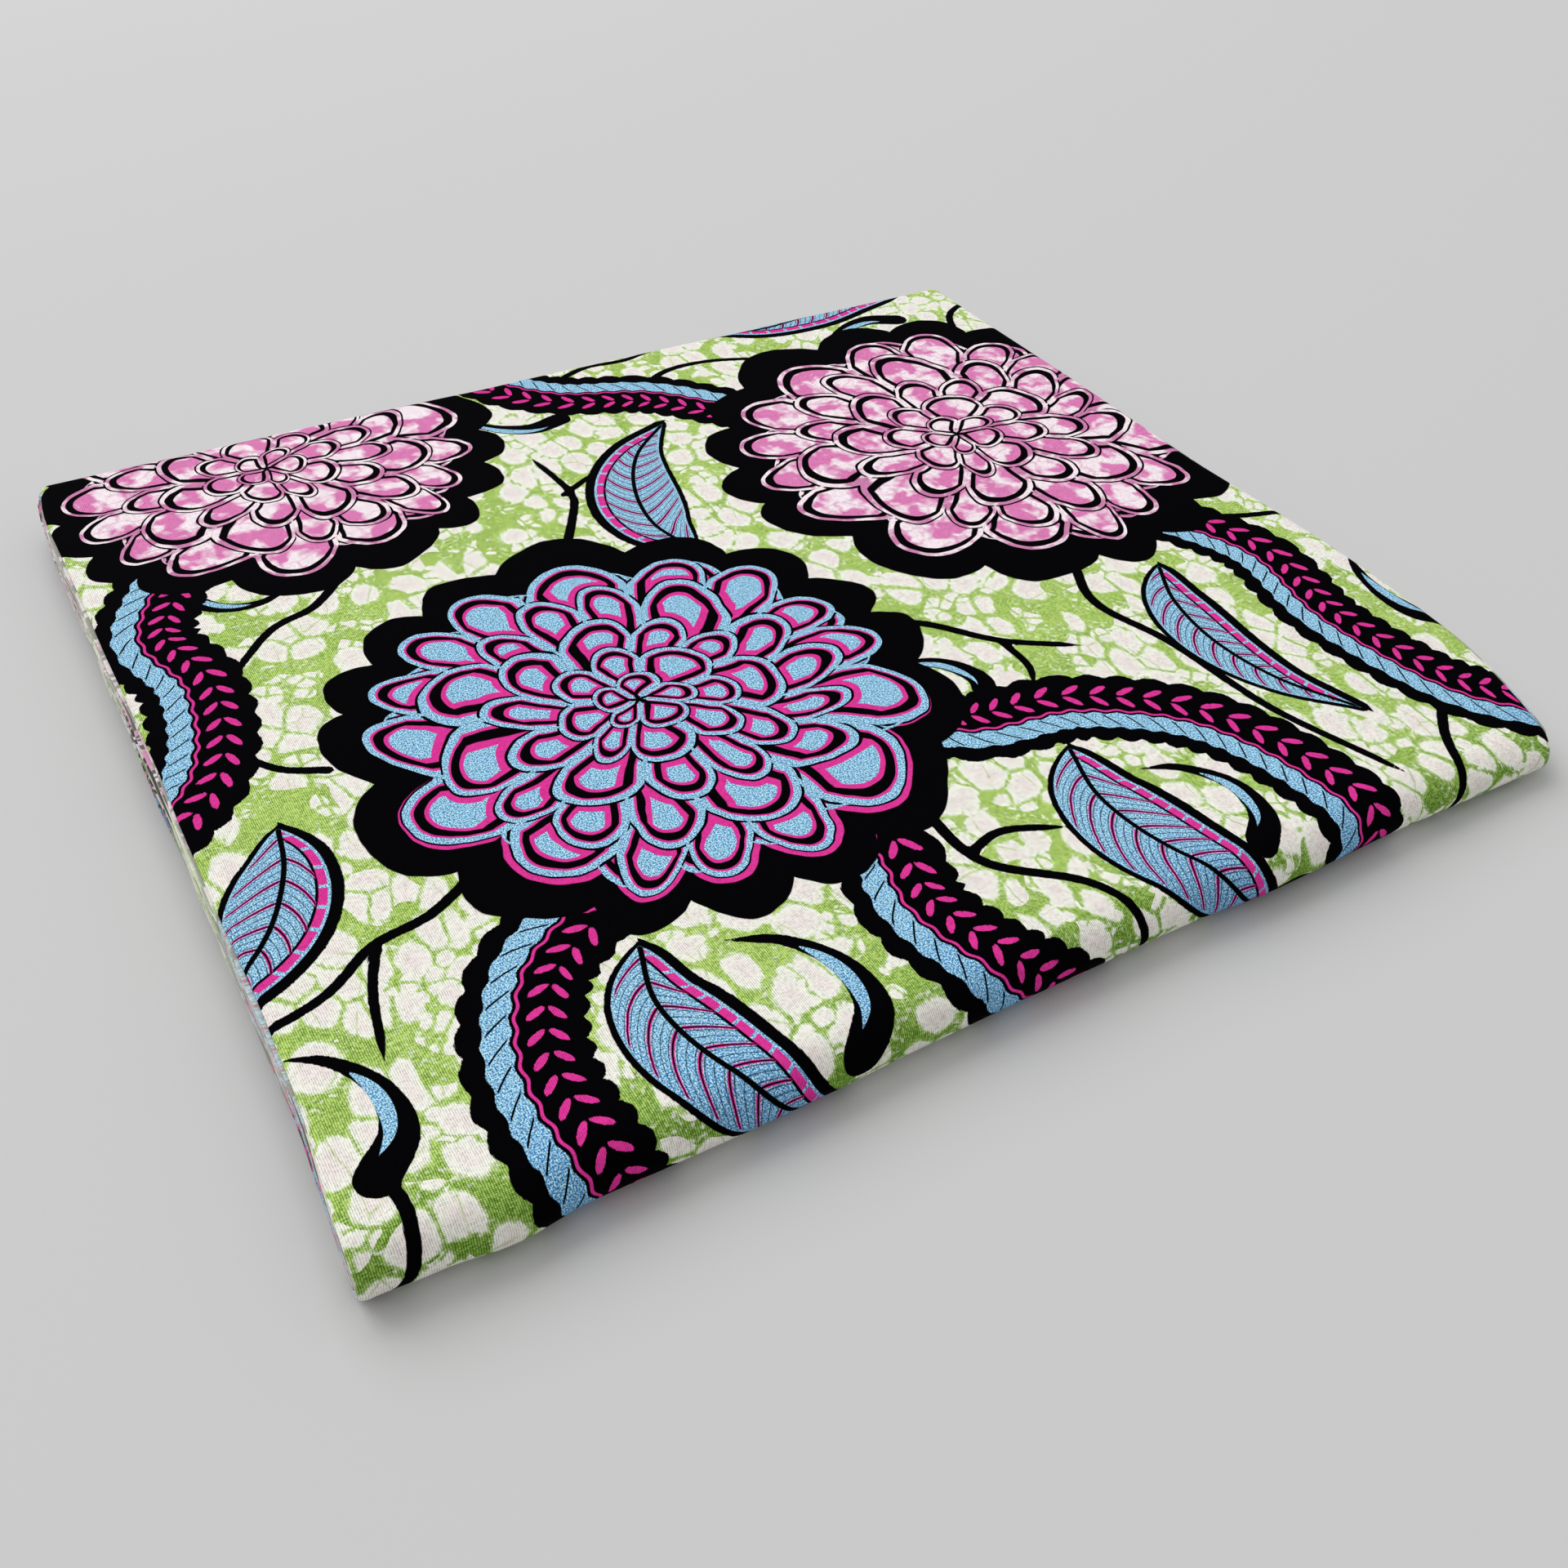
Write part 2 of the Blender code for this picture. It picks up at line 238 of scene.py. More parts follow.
BAND_HALF = 13.0
BAND_TAPER = 26.0
BAND_PAST = 8.0
BANDS = (
    # points of each band's centre line
    ((158, 86), (178, 70), (206, 64), (231, 44), (241, 10), (238, -30), (225, -60)),
    ((86, 74), (68, 60), (50, 46), (41, 22), (45, -8), (62, -36)),
    ((276, 142), (288, 122), (298, 96), (293, 62), (303, 26), (330, 4)),
    ((34, 244), (24, 226), (12, 200), (17, 172), (8, 138), (-22, 112)),
    ((218, 226), (204, 244), (186, 262), (160, 274), (145, 292), (144, 309)),
    ((128, 64), (134, 44), (131, 24), (139, 0), (162, -26), (168, -70)),
)
LEAVES = (
    # points of each leaf's midrib, and its greatest half width
    (((194, 52), (189, 34), (192, 14), (202, -4), (218, -18)), 13.0),
    (((156, 172), (152, 190), (156, 210), (166, 228), (182, 242)), 12.5),
    (((304, 292), (284, 294), (264, 290), (246, 288), (228, 292)), 9.5),
    (((20, 114), (17, 100), (9, 84), (-3, 72), (-18, 64)), 11.0),
    (((268, 104), (260, 88), (257, 68), (261, 48), (272, 30)), 9.5),
    (((74, 44), (70, 28), (74, 10), (84, -6), (100, -18)), 11.5),
)
STEMS = (
    # points of each stem, and its half width at both ends
    (((150, 52), (152, 30), (170, 12), (176, -12)), 1.5, 1.1),
    (((152, 34), (162, 36), (176, 30)), 1.3, 1.0),
    (((54, 81), (40, 73), (26, 70), (12, 61), (-12, 56)), 1.4, 1.1),
    (((27, 70), (22, 58), (18, 40)), 1.2, 0.9),
    (((180, 116), (192, 112), (206, 96), (224, 84)), 1.5, 1.1),
    (((206, 96), (206, 84), (202, 76)), 1.2, 1.0),
    (((248, 118), (240, 98), (246, 74), (250, 40), (262, 8)), 1.5, 1.2),
    (((122, 186), (132, 202), (138, 216), (136, 240)), 1.5, 1.0),
    (((136, 216), (150, 224)), 1.2, 1.0),
    (((66, 206), (54, 194), (40, 188), (22, 168)), 1.5, 1.0),
    (((186, 266), (200, 274), (216, 274), (234, 268)), 1.4, 1.0),
    (((158, 280), (176, 288), (194, 288), (222, 300)), 1.3, 1.0),
    (((304, 252), (312, 268), (326, 276)), 1.5, 1.1),
    (((296, 26), (282, 12), (274, -4), (268, -24)), 1.5, 1.1),
    (((296, 120), (310, 113), (336, 106)), 1.4, 1.0),
    (((36, 128), (26, 134), (18, 146)), 1.3, 1.0),
    (((8, 20), (10, 6), (4, -10), (-12, -20)), 1.5, 1.1),
)
CURLS = (
    # points of each curl from its thin end, half width of its head, and its shine's place to one side
    (((90, 37), (101, 31), (108, 20), (108, 8), (101, -1)), 4.6, -2.0),
    (((1, 50), (9, 45), (15, 35), (15, 24), (8, 16)), 4.4, -1.9),
    (((204, 38), (213, 34), (220, 24), (219, 13), (212, 6)), 3.8, -1.6),
    (((254, 254), (260, 266), (270, 274), (282, 277), (292, 273)), 3.8, -1.6),
    (((327, 86), (319, 78), (316, 66), (318, 55), (326, 49)), 4.0, 1.7),
    (((164, 97), (176, 99), (186, 95), (191, 86), (189, 78)), 3.4, -1.4),
    (((52, 206), (42, 202), (33, 204), (27, 211), (28, 219)), 3.2, -1.4),
    (((125, 284), (127, 272), (134, 262), (144, 257), (154, 259)), 3.6, -1.5),
)
FAR_AWAY = 40.0

# The stretch of print that each loop of plies shows at the ends, and each ply at the back
PLY_MARGIN = 14.0
PLY_ACROSS = 37.0
SIDE_ACROSS = 45.0
PLY_ACROSS_SPAN = 290.0
PLY_HALF_SHOWN = 1.5
PLY_UP = 23.0
PLY_UP_SPAN = 560.0
PLY_UP_START = 285.0
BACK_PRINT_START = 40.0
BACK_PRINT_STEP = 7.0

# How far from a motif's line its places are worked out, and how far wide motifs run on past its ends
BAND_REACH = BAND_HALF + 4.0
LEAF_REACH = 18.0
STEM_REACH = 8.0
CURL_REACH = 10.0
RUN_ON = 12.0

# Outlines of leaves, stems, curls and the shine in a curl
LEAF_LEAN = 0.75
LEAF_FULLNESS = 1.05
STEM_POINT = 7.0
CURL_TAIL = 1.1
CURL_POINT = 9.0
CURL_GROWTH = 1.2
SHINE_SHARE = 0.50
SHINE_INSET = 0.6
SHINE_START = 0.30
SHINE_SPAN = 0.62
SHINE_FULLNESS = 0.7
SHINE_GROWTH = 0.8

# Drawing of the blooms: where lines reach their full width, the heart, and the side with a magenta line
LINES_GROW_OVER = 55.0
HEART_RADIUS = 3.0
LOWER_SIDE = (-0.009, -0.021, 0.0)

# Drawing of the bands: places across them from their middle, half widths, and pitches along them
RIPPLE_PITCH = 7.0
RIPPLE_DEPTH = 1.4
LEAFLET_ROWS = ((6.9, 0.85), (2.4, -0.85))
LEAFLET_PITCH = 6.4
LEAFLET_SIZE = 1.45
CORD_MIDDLE = 5.3
CORD_HALF = 2.8
CORD_PITCH = 6.0
CORD_LEAN = 1.1
CORD_SWAY = 0.35
TWIST_LINE = 0.32
THIN_LINE_MIDDLE = 1.4
THIN_LINE = 0.34

# Drawing of the leaves: outline, rim counted in from the edge, and pitches along the midrib
LEAF_OUTLINE = 1.3
RIM_START = 0.9
RIM_END = 3.0
RIM_LINE = 3.2
RIM_PITCH = 5.6
VEIN_PITCH = 6.8
FINE_VEIN_PITCH = 2.267

# Wax bubbles, cracks and glitter, and where painted shade darkens the green and the glitter over the front
# fold
LARGE_BUBBLE = 9.0
SMALL_BUBBLE = 4.8
BUBBLE_LEAN = 32.0
CRACK_SPACING = 13.0
GLITTER_GRAIN = 0.40
FOLD_SHADE_END = 22.0
FOLD_SHADE_SPAN = 30.0


def tint(red, green, blue):
    """Linear colour of a screen colour given from 0 to 255."""
    screen = np.array([red, green, blue]) / 255
    linear = np.where(screen <= 0.04045, screen / 12.92, ((screen + 0.055) / 1.055) ** 2.4)
    return tuple(float(part) for part in linear)


def wave(position, shift):
    """Uneven wave from -1 to 1 along a position in metres: three sines of unlike lengths added up."""
    turns = 2 * math.pi * position
    return (
        0.55 * np.sin(turns / 0.190 + 1.7 * shift)
        + 0.30 * np.sin(turns / 0.083 + 2.9 * shift)
        + 0.15 * np.sin(turns / 0.037 + 4.3 * shift)
    )


def ease(share):
    """Smooth step from 0 to 1: 3 s^2 - 2 s^3 of a share held between 0 and 1."""
    held = np.clip(share, 0.0, 1.0)
    return held**2 * (3.0 - 2.0 * held)


def uneven_line(table, position):
    """Offset of an edge that isn't quite straight, eased from each place in its table to the next."""
    place, offset = np.array(table).T
    share = np.interp(position, place, np.arange(len(place)))
    before = np.clip(np.floor(share).astype(int), 0, len(place) - 2)
    return offset[before] + ease(share - before) * (offset[before + 1] - offset[before])


def rounded_corner(before, along_x, along_y):
    """How far a corner's quarter ellipse lies in from a straight end, at a distance before the corner."""
    into = np.clip((along_y - before) / along_y, 0.0, 1.0)
    return along_x * (1.0 - np.sqrt(1.0 - into**2))


def right_outline(y):
    """Right end of the bundle at y: nearly straight, with a quarter ellipse round the front corner."""
    corner = rounded_corner(y + HALF_WIDTH, CORNER_ALONG_X, CORNER_ALONG_Y)
    return HALF_LENGTH - corner - uneven_line(RIGHT_LINE, y + HALF_WIDTH)


def near_front(y):
    """1 at the front fold, fading to 0 behind it as a bell."""
    return np.exp(-(((y + HALF_WIDTH) / FRONT_FLARE_REACH) ** 2))


def left_outline(y):
    """Left end of the bundle at y: straight, flaring out to the front fold, and rounded at the back."""
    corner = rounded_corner(HALF_WIDTH - y, BACK_CORNER_ALONG_X, BACK_CORNER_ALONG_Y)
    return -HALF_LENGTH - FRONT_FLARE * near_front(y) + corner


def left_end(y):
    """Left end of the cloth that shows: a little inside the outline, uneven, and out to it at the fold."""
    inset = LEFT_INSET + LEFT_INSET_WAVE * wave(y, 0.4)
    return left_outline(y) + inset * (1.0 - near_front(y))


def right_end(y):
    """Right end of the cloth that shows."""
    return right_outline(y) - RIGHT_INSET


def settle(points):
    """Presses the front right corner down and adds the slow unevenness of the top and of the front fold.

    Heights are scaled, so the underside stays flat on the floor and no layers cross.
    """
    x, y, z = np.moveaxis(points, -1, 0)
    from_corner = np.hypot((x - HALF_LENGTH) / CORNER_SINK_REACH, (y + HALF_WIDTH) / CORNER_SINK_REACH)
    sink = CORNER_SINK * np.exp(-(from_corner**2))
    uneven = TOP_WAVE * (0.5 * wave(x + 0.3 * y, 1.0) + 0.5 * wave(y - 0.4 * x, 2.0))
    edge = uneven_line(FRONT_LINE, x + HALF_LENGTH) * np.exp(-(y + HALF_WIDTH) / FRONT_LINE_REACH)
    return np.stack([x, y + edge, z * (1.0 - sink + uneven - TOP_WAVE)], axis=-1)


def section(run):
    """Section of the cloth across the bundle, as places and outward directions in Y and Z at each run.

    Run 0 is the foot of the front fold. Before it lies the underside, after it half a circle up the
    front, the straight top, and an arc round the upper back edge.
    """
    front = np.clip(run / FRONT_RADIUS, 0.0, math.pi)
    back = np.clip((run - FRONT_RUN - TOP_RUN) / BACK_RADIUS, 0.0, BACK_TURN)
    under = np.clip(-run, 0.0, None)
    over = np.clip(run - FRONT_RUN, 0.0, TOP_RUN)
    y = FRONT_CENTRE_Y + under - FRONT_RADIUS * np.sin(front) + over + BACK_RADIUS * np.sin(back)
    z = FRONT_RADIUS * (1.0 - np.cos(front)) - BACK_RADIUS * (1.0 - np.cos(back))
    out_y = np.sin(back) - np.sin(front)
    out_z = np.where(front < math.pi, -np.cos(front), np.cos(back))
    return y, z, out_y, out_z


def creases(along, back):
    """Height of the soft troughs and ridges: each a bell across its line, fading along it."""
    height = np.zeros_like(along)
    for place, start, direction, half_length, half_width, rise in CREASES:
        turn = math.radians(direction)
        lengthwise = (along - place) * math.cos(turn) + (back - start) * math.sin(turn)
        sideways = (back - start) * math.cos(turn) - (along - place) * math.sin(turn)
        height += rise * np.exp(-((lengthwise / half_length) ** 2) - (sideways / half_width) ** 2)
    return height


def smooth_path(points, step=1.5):
    """Curve through its points: cubics whose slope at each point is half the way between its neighbours."""
    points = np.array(points, float)
    ends = np.concatenate([2 * points[:1] - points[1:2], points, 2 * points[-1:] - points[-2:-1]])
    length = np.hypot(*np.diff(points, axis=0).T).sum()
    share = np.linspace(0.0, 1.0, math.ceil(length / step / (len(points) - 1)), endpoint=False)[:, None]
    stretches = []
    for a, b, c, d in zip(ends, ends[1:], ends[2:], ends[3:]):
        cubic = 3 * b - a - 3 * c + d
        square = 2 * a - 5 * b + 4 * c - d
        stretches.append(b + 0.5 * ((c - a) * share + square * share**2 + cubic * share**3))
    return np.concatenate([*stretches, points[-1:]])


def runs_along(points):
    """Distance along a line of points from its first one."""
    return np.concatenate([[0.0], np.cumsum(np.hypot(*np.diff(points, axis=0).T))])


def follow(place, path, beyond):
    """Signed distance across a path, distance along it and plain distance, at each place.

    Each place is dropped onto every step of the path, and the nearest foot is kept. The first and last
    step run on a little, so that what lies beyond the path's ends keeps its place along it.
    """
    steps = np.diff(path, axis=0)
    lengths = np.hypot(*steps.T)
    runs = runs_along(path)
    away = np.full(len(place), np.inf)
    across = np.zeros(len(place))
    along = np.zeros(len(place))
    for index, (start, step, length, run) in enumerate(zip(path, steps, lengths, runs)):
        offset = place - start
        low = -beyond / length if index == 0 else 0.0
        high = 1.0 + beyond / length if index == len(steps) - 1 else 1.0
        share = np.clip(offset @ step / length**2, low, high)
        foot = offset - share[:, None] * step
        distance = np.hypot(foot[:, 0], foot[:, 1])
        closer = distance < away
        side = np.where(step[0] * offset[:, 1] - step[1] * offset[:, 0] < 0.0, -1.0, 1.0)
        away = np.where(closer, distance, away)
        across = np.where(closer, side * distance, across)
        along = np.where(closer, run + share * length, along)
    return across, along, away, runs[-1]


def nearest_motif(place, motifs, width_of, reach, beyond=0.0, line_of=None):
    """Across, along, half width and gap to the edge of the nearest motif that follows a path."""
    found = np.zeros((len(place), 4))
    found[:, 2] = -1.0
    found[:, 3] = FAR_AWAY
    for points, *sizes in motifs:
        for shift in REPEATS:
            path = (line_of(points, *sizes) if line_of else smooth_path(points)) + shift
            inside = (place > path.min(axis=0) - reach) & (place < path.max(axis=0) + reach)
            index = np.flatnonzero(inside.all(axis=1))
            if len(index) == 0:
                continue
            across, along, away, length = follow(place[index], path, beyond)
            width = width_of(along, length, *sizes)
            gap = away - width
            closer = gap < found[index, 3]
            found[index[closer]] = np.stack([across, along, width, gap], axis=-1)[closer]
    return found


def band_width(along, length):
    """Half width of a band: tapers over its first and last stretch."""
    return BAND_HALF * ease(np.minimum(along + BAND_PAST, length + BAND_PAST - along) / BAND_TAPER)


def leaf_width(along, length, widest):
    """Half width of a leaf: a sine whose crest lies nearer to the base, and below 0 past both ends."""
    share = np.clip(along / length, 0.0, 1.0)
    past = np.abs(along / length - share) * length
    return widest * np.sin(math.pi * share**LEAF_LEAN) ** LEAF_FULLNESS - past


def stem_width(along, length, first, last):
    """Half width of a stem, even from one end to the other, and pointed at its last end."""
    share = np.clip(along / length, 0.0, 1.0)
    return (first + (last - first) * share) * np.sqrt(ease((length - along) / STEM_POINT))


def curl_width(along, length, head, side):
    """Half width of a curl: thin at first, and round at its head."""
    growth = ease(along / length) ** CURL_GROWTH
    return CURL_TAIL * np.sqrt(ease(along / CURL_POINT)) + (head - CURL_TAIL) * growth


def shine_width(along, length, head, side):
    """Half width of the shine in a curl: a sliver that ends before the head does."""
    share = np.clip(along / length, 0.0, 1.0)
    sliver = np.sin(math.pi * np.clip((share - SHINE_START) / SHINE_SPAN, 0.0, 1.0)) ** SHINE_FULLNESS
    return SHINE_SHARE * head * sliver - SHINE_INSET


def beside(points, head, side):
    """Middle line of a curl's shine: the curl's own line, moved to one side as the curl grows thicker."""
    path = smooth_path(points)
    step = np.gradient(path, axis=0)
    normal = np.stack([-step[:, 1], step[:, 0]], axis=-1) / np.hypot(*step.T)[:, None]
    return path + normal * side * ease(np.linspace(0.0, 1.0, len(path)))[:, None] ** SHINE_GROWTH


def print_fields(across, up):
    """What the print's material reads at each place of the flat cloth, as named vectors."""
    place = np.stack([across.ravel(), up.ravel()], axis=-1)
    bloom = np.zeros((len(place), 3))
    far = np.full(len(place), 2.0 * FAR_AWAY + HALO)
    for middle_across, middle_up, radius, turn, blue in BLOOMS:
        cosine, sine = math.cos(math.radians(turn)), math.sin(math.radians(turn))
        for shift in REPEATS:
            offset = (place - (middle_across + shift[0], middle_up + shift[1])) * (BLOOM_SIZE / radius)
            distance = np.hypot(offset[:, 0], offset[:, 1])
            swung = offset @ np.array([[cosine, -sine], [sine, cosine]])
            closer = distance < far
            bloom[closer] = np.column_stack([swung, np.full(len(place), blue)])[closer]
            far = np.where(closer, distance, far)
    bands = nearest_motif(place, [(points,) for points in BANDS], band_width, BAND_REACH, RUN_ON)
    leaves = nearest_motif(place, LEAVES, leaf_width, LEAF_REACH, RUN_ON)
    stems = nearest_motif(place, STEMS, stem_width, STEM_REACH)
    curls = nearest_motif(place, CURLS, curl_width, CURL_REACH)
    shines = nearest_motif(place, CURLS, shine_width, CURL_REACH, line_of=beside)
    lines = np.where(stems[:, 3:] < curls[:, 3:], stems, curls)
    fields = {
        "cloth_place": np.column_stack([place, np.zeros(len(place))]),
        "bloom_place": bloom,
        "band_place": bands[:, :3],
        "leaf_place": leaves[:, :3],
        "motif_gaps": np.column_stack([bands[:, 3], leaves[:, 3], far]),
        "line_place": lines[:, [0, 2, 3]],
        "shine_place": shines[:, [0, 2, 3]],
    }
    return {name: values.reshape(*across.shape, 3) for name, values in fields.items()}


def grid_faces(rows, columns, first):
    """Four-sided faces of a grid whose points are stored row by row."""
    corner = first + np.arange(rows - 1)[:, None] * columns + np.arange(columns - 1)[None, :]
    return np.stack([corner, corner + 1, corner + columns + 1, corner + columns], axis=-1).reshape(-1, 4)


def put(name, data):
    """A new object in the scene."""
    thing = bpy.data.objects.new(name, data)
    bpy.context.scene.collection.objects.link(thing)
    return thing


def sew(name, grids, caps=()):
    """One mesh of several grids whose edges meet.

    Each grid is its points, its fields and its places on the bake map. Fields and map are kept on face
    corners, so they may differ where grids meet. Caps are closing faces, as places in the points.
    """
    points = np.concatenate([grid.reshape(-1, 3) for grid, fields, spot in grids])
    spots = np.concatenate([spot.reshape(-1, 2) for grid, fields, spot in grids])
    fields = {key: np.concatenate([grid[1][key].reshape(-1, 3) for grid in grids]) for key in grids[0][1]}
    firsts = np.cumsum([0] + [grid[0].shape[0] * grid[0].shape[1] for grid in grids])
    faces = [grid_faces(*grid[0].shape[:2], first) for grid, first in zip(grids, firsts)]
    faces = np.concatenate(faces).tolist() + list(caps)
    corners = np.array(list(itertools.chain.from_iterable(faces)))
    mesh = bpy.data.meshes.new(name)
    mesh.from_pydata(settle(points).tolist(), [], faces)
    for key, values in fields.items():
        layer = mesh.attributes.new(key, "FLOAT_VECTOR", "CORNER")
        layer.data.foreach_set("vector", values[corners].astype(np.float32).ravel())
    bake = mesh.uv_layers.new(name="OFBake")
    bake.uv.foreach_set("vector", spots[corners].astype(np.float32).ravel())
    body = bmesh.new()
    body.from_mesh(mesh)
    bmesh.ops.remove_doubles(body, verts=body.verts, dist=SAME_PLACE)
    bmesh.ops.dissolve_degenerate(body, edges=body.edges, dist=SAME_PLACE)
    bmesh.ops.recalc_face_normals(body, faces=body.faces)
    body.to_mesh(mesh)
    body.free()
    mesh.shade_smooth()
    mesh.set_sharp_from_angle(angle=SHARP_ANGLE)
    return put(name, mesh)


def rolled_end(angles, radius, side):
    """Arc of an end that rolls down, at its angles from the straight cloth.

    Returned are places along X from its tip, how far it rolls inwards, and how much more cloth it takes
    than it spans.
    """
    span = side * radius * (np.sin(angles) - math.sin(angles.max()))
    return span, radius * (1 - np.cos(angles)), side * radius * (angles - np.sin(angles))


def cloth_columns(y, out_y, step):
    """Places of the cloth along X, how far it rolls inwards, and its places on the flat cloth.

    Both ends are taken where the outer side of the layers lies, so that no layer reaches past the cloth.
    """
    left_angles = np.linspace(LEFT_ROLL_ANGLE, 0.0, LEFT_ROLL_STEPS)
    right_angles = np.linspace(0.0, RIGHT_ROLL_ANGLE, RIGHT_ROLL_STEPS)
    left_span, left_roll, left_more = rolled_end(left_angles, LEFT_ROLL_RADIUS, -1)
    right_span, right_roll, right_more = rolled_end(right_angles, RIGHT_ROLL_RADIUS, 1)
    left = left_end(y - out_y * LEFT_DEPTH) + left_span
    right = right_end(y - out_y * RIGHT_DEPTH) + right_span
    share = np.linspace(0.0, 1.0, round(BUNDLE_LENGTH / step) + 1)[1:-1]
    between = left[:, -1:] + share * (right[:, :1] - left[:, -1:])
    straight = np.zeros_like(share)
    x = np.concatenate([left, between, right], axis=1)
    roll = np.concatenate([left_roll, straight, right_roll])
    more = np.concatenate([left_more, straight, right_more])
    return x, roll[None, :], x + more + HALF_LENGTH


def cloth_shell(name, runs, step):
    """A stretch of the cloth as a thin closed shell.

    Each row is a ring across the bundle: the face that shows from left to right, rolled down at both
    ends, and back along a coarser hidden side. Rows follow the section, and both end rows are capped.
    """
    y, z, out_y, out_z = (part[:, None] for part in section(runs))
    x, roll, flat = cloth_columns(y, out_y, step)
    up = (runs - FRONT_RUN)[:, None] + FRONT_RADIUS + np.zeros_like(x)
    relief = creases(flat, up) * ease((out_z + 1.0) / CREASE_FADE)
    from_end = np.minimum(x - x[:, :1], x[:, -1:] - x)
    hidden = RIM_THICKNESS + (HIDDEN_THICKNESS - RIM_THICKNESS) * ease(from_end / HIDDEN_REACH)

    def side_of_cloth(columns, depth):
        inwards = roll[:, columns] + depth - relief[:, columns]
        return np.stack([x[:, columns], y - out_y * inwards, z - out_z * inwards], axis=-1)

    rows, count = x.shape
    shown = np.arange(count)
    rolls = (shown <= LEFT_ROLL_STEPS) | (shown >= count - RIGHT_ROLL_STEPS)
    kept = shown[rolls | (shown % HIDDEN_EVERY == 0)]
    behind = np.concatenate([[count - 1], kept[::-1], [0]])
    depth = hidden[:, behind]
    depth[:, [0, -1]] = 0.0
    outer = side_of_cloth(shown, 0.0)
    ring = side_of_cloth(behind, depth)
    outer_fields = print_fields(flat / MM, up / MM)
    ring_fields = {key: values[:, behind] for key, values in outer_fields.items()}
    outer_spot = place_on_map((count, rows), 0.0, 0.96).swapaxes(0, 1)
    ring_spot = place_on_map(depth.shape, 0.97, 1.0)
    outer_index = np.arange(x.size).reshape(x.shape)
    ring_index = x.size + np.arange(depth.size).reshape(depth.shape)
    caps = [np.concatenate([outer_index[row], ring_index[row, 1:-1]]).tolist() for row in (0, -1)]
    return sew(name, [(outer, outer_fields, outer_spot), (ring, ring_fields, ring_spot)], caps)


def band_rows(depth):
    """Lines of the folded stack across the bundle: places of its outer side and of its inner side.

    The stack starts at the lower selvedge, runs along the underside, turns up the front, runs back under
    the top cloth, turns round the upper back fold, and comes back inside itself to the upper selvedge.
    Heights are counted in quarters of the bundle. Depth is how far the outer side lies under the cloth
    that shows.
    """
    inner_y = np.linspace(FRONT_CENTRE_Y, BACK_CENTRE_Y, STRAIGHT_STEPS + 1)
    to_selvedge = np.linspace(BACK_CENTRE_Y, HALF_WIDTH - SELVEDGE_INSET, SELVEDGE_STEPS + 1)
    lower_y = np.concatenate([inner_y, to_selvedge[1:]])
    notch = np.clip(np.arange(-STRAIGHT_STEPS, 1) + NOTCH_STEPS, 0, None) / NOTCH_STEPS
    turn = np.linspace(0.0, math.pi, TURN_STEPS + 1)[1:-1]

    def arc(middle_y, quarters, radius, side, rise):
        return middle_y + side * radius * np.sin(turn), quarters * QUARTER + rise * radius * np.cos(turn)

    front, back = FRONT_CENTRE_Y, BACK_CENTRE_Y
    rows = [
        (lower_y[::-1], depth, lower_y[::-1], QUARTER),
        (*arc(front, 2, 2 * QUARTER - depth, -1, -1), *arc(front, 2, QUARTER, -1, -1)),
        (inner_y, 4 * QUARTER - depth, inner_y, 3 * QUARTER),
        (*arc(back, 3, QUARTER - depth, 1, 1), *arc(back, 3, 0.0, 1, 1)),
        (inner_y[::-1], 2 * QUARTER + depth * notch[::-1], inner_y[::-1], 3 * QUARTER),
        (*arc(front, 2, 0.0, -1, 1), *arc(front, 2, QUARTER, -1, 1)),
        (lower_y, 2 * QUARTER, lower_y, QUARTER),
    ]
    return np.concatenate([np.stack(np.broadcast_arrays(*row), axis=-1) for row in rows])


def uneven_levels(run, swing, shift, step, turn):
    """How far plies stand out: half way, with a slow wave along the run and a step from ply to ply."""
    return np.clip(0.5 + swing * wave(run, shift) + step * np.sin(turn), LEAST_LEVEL, 1.0)


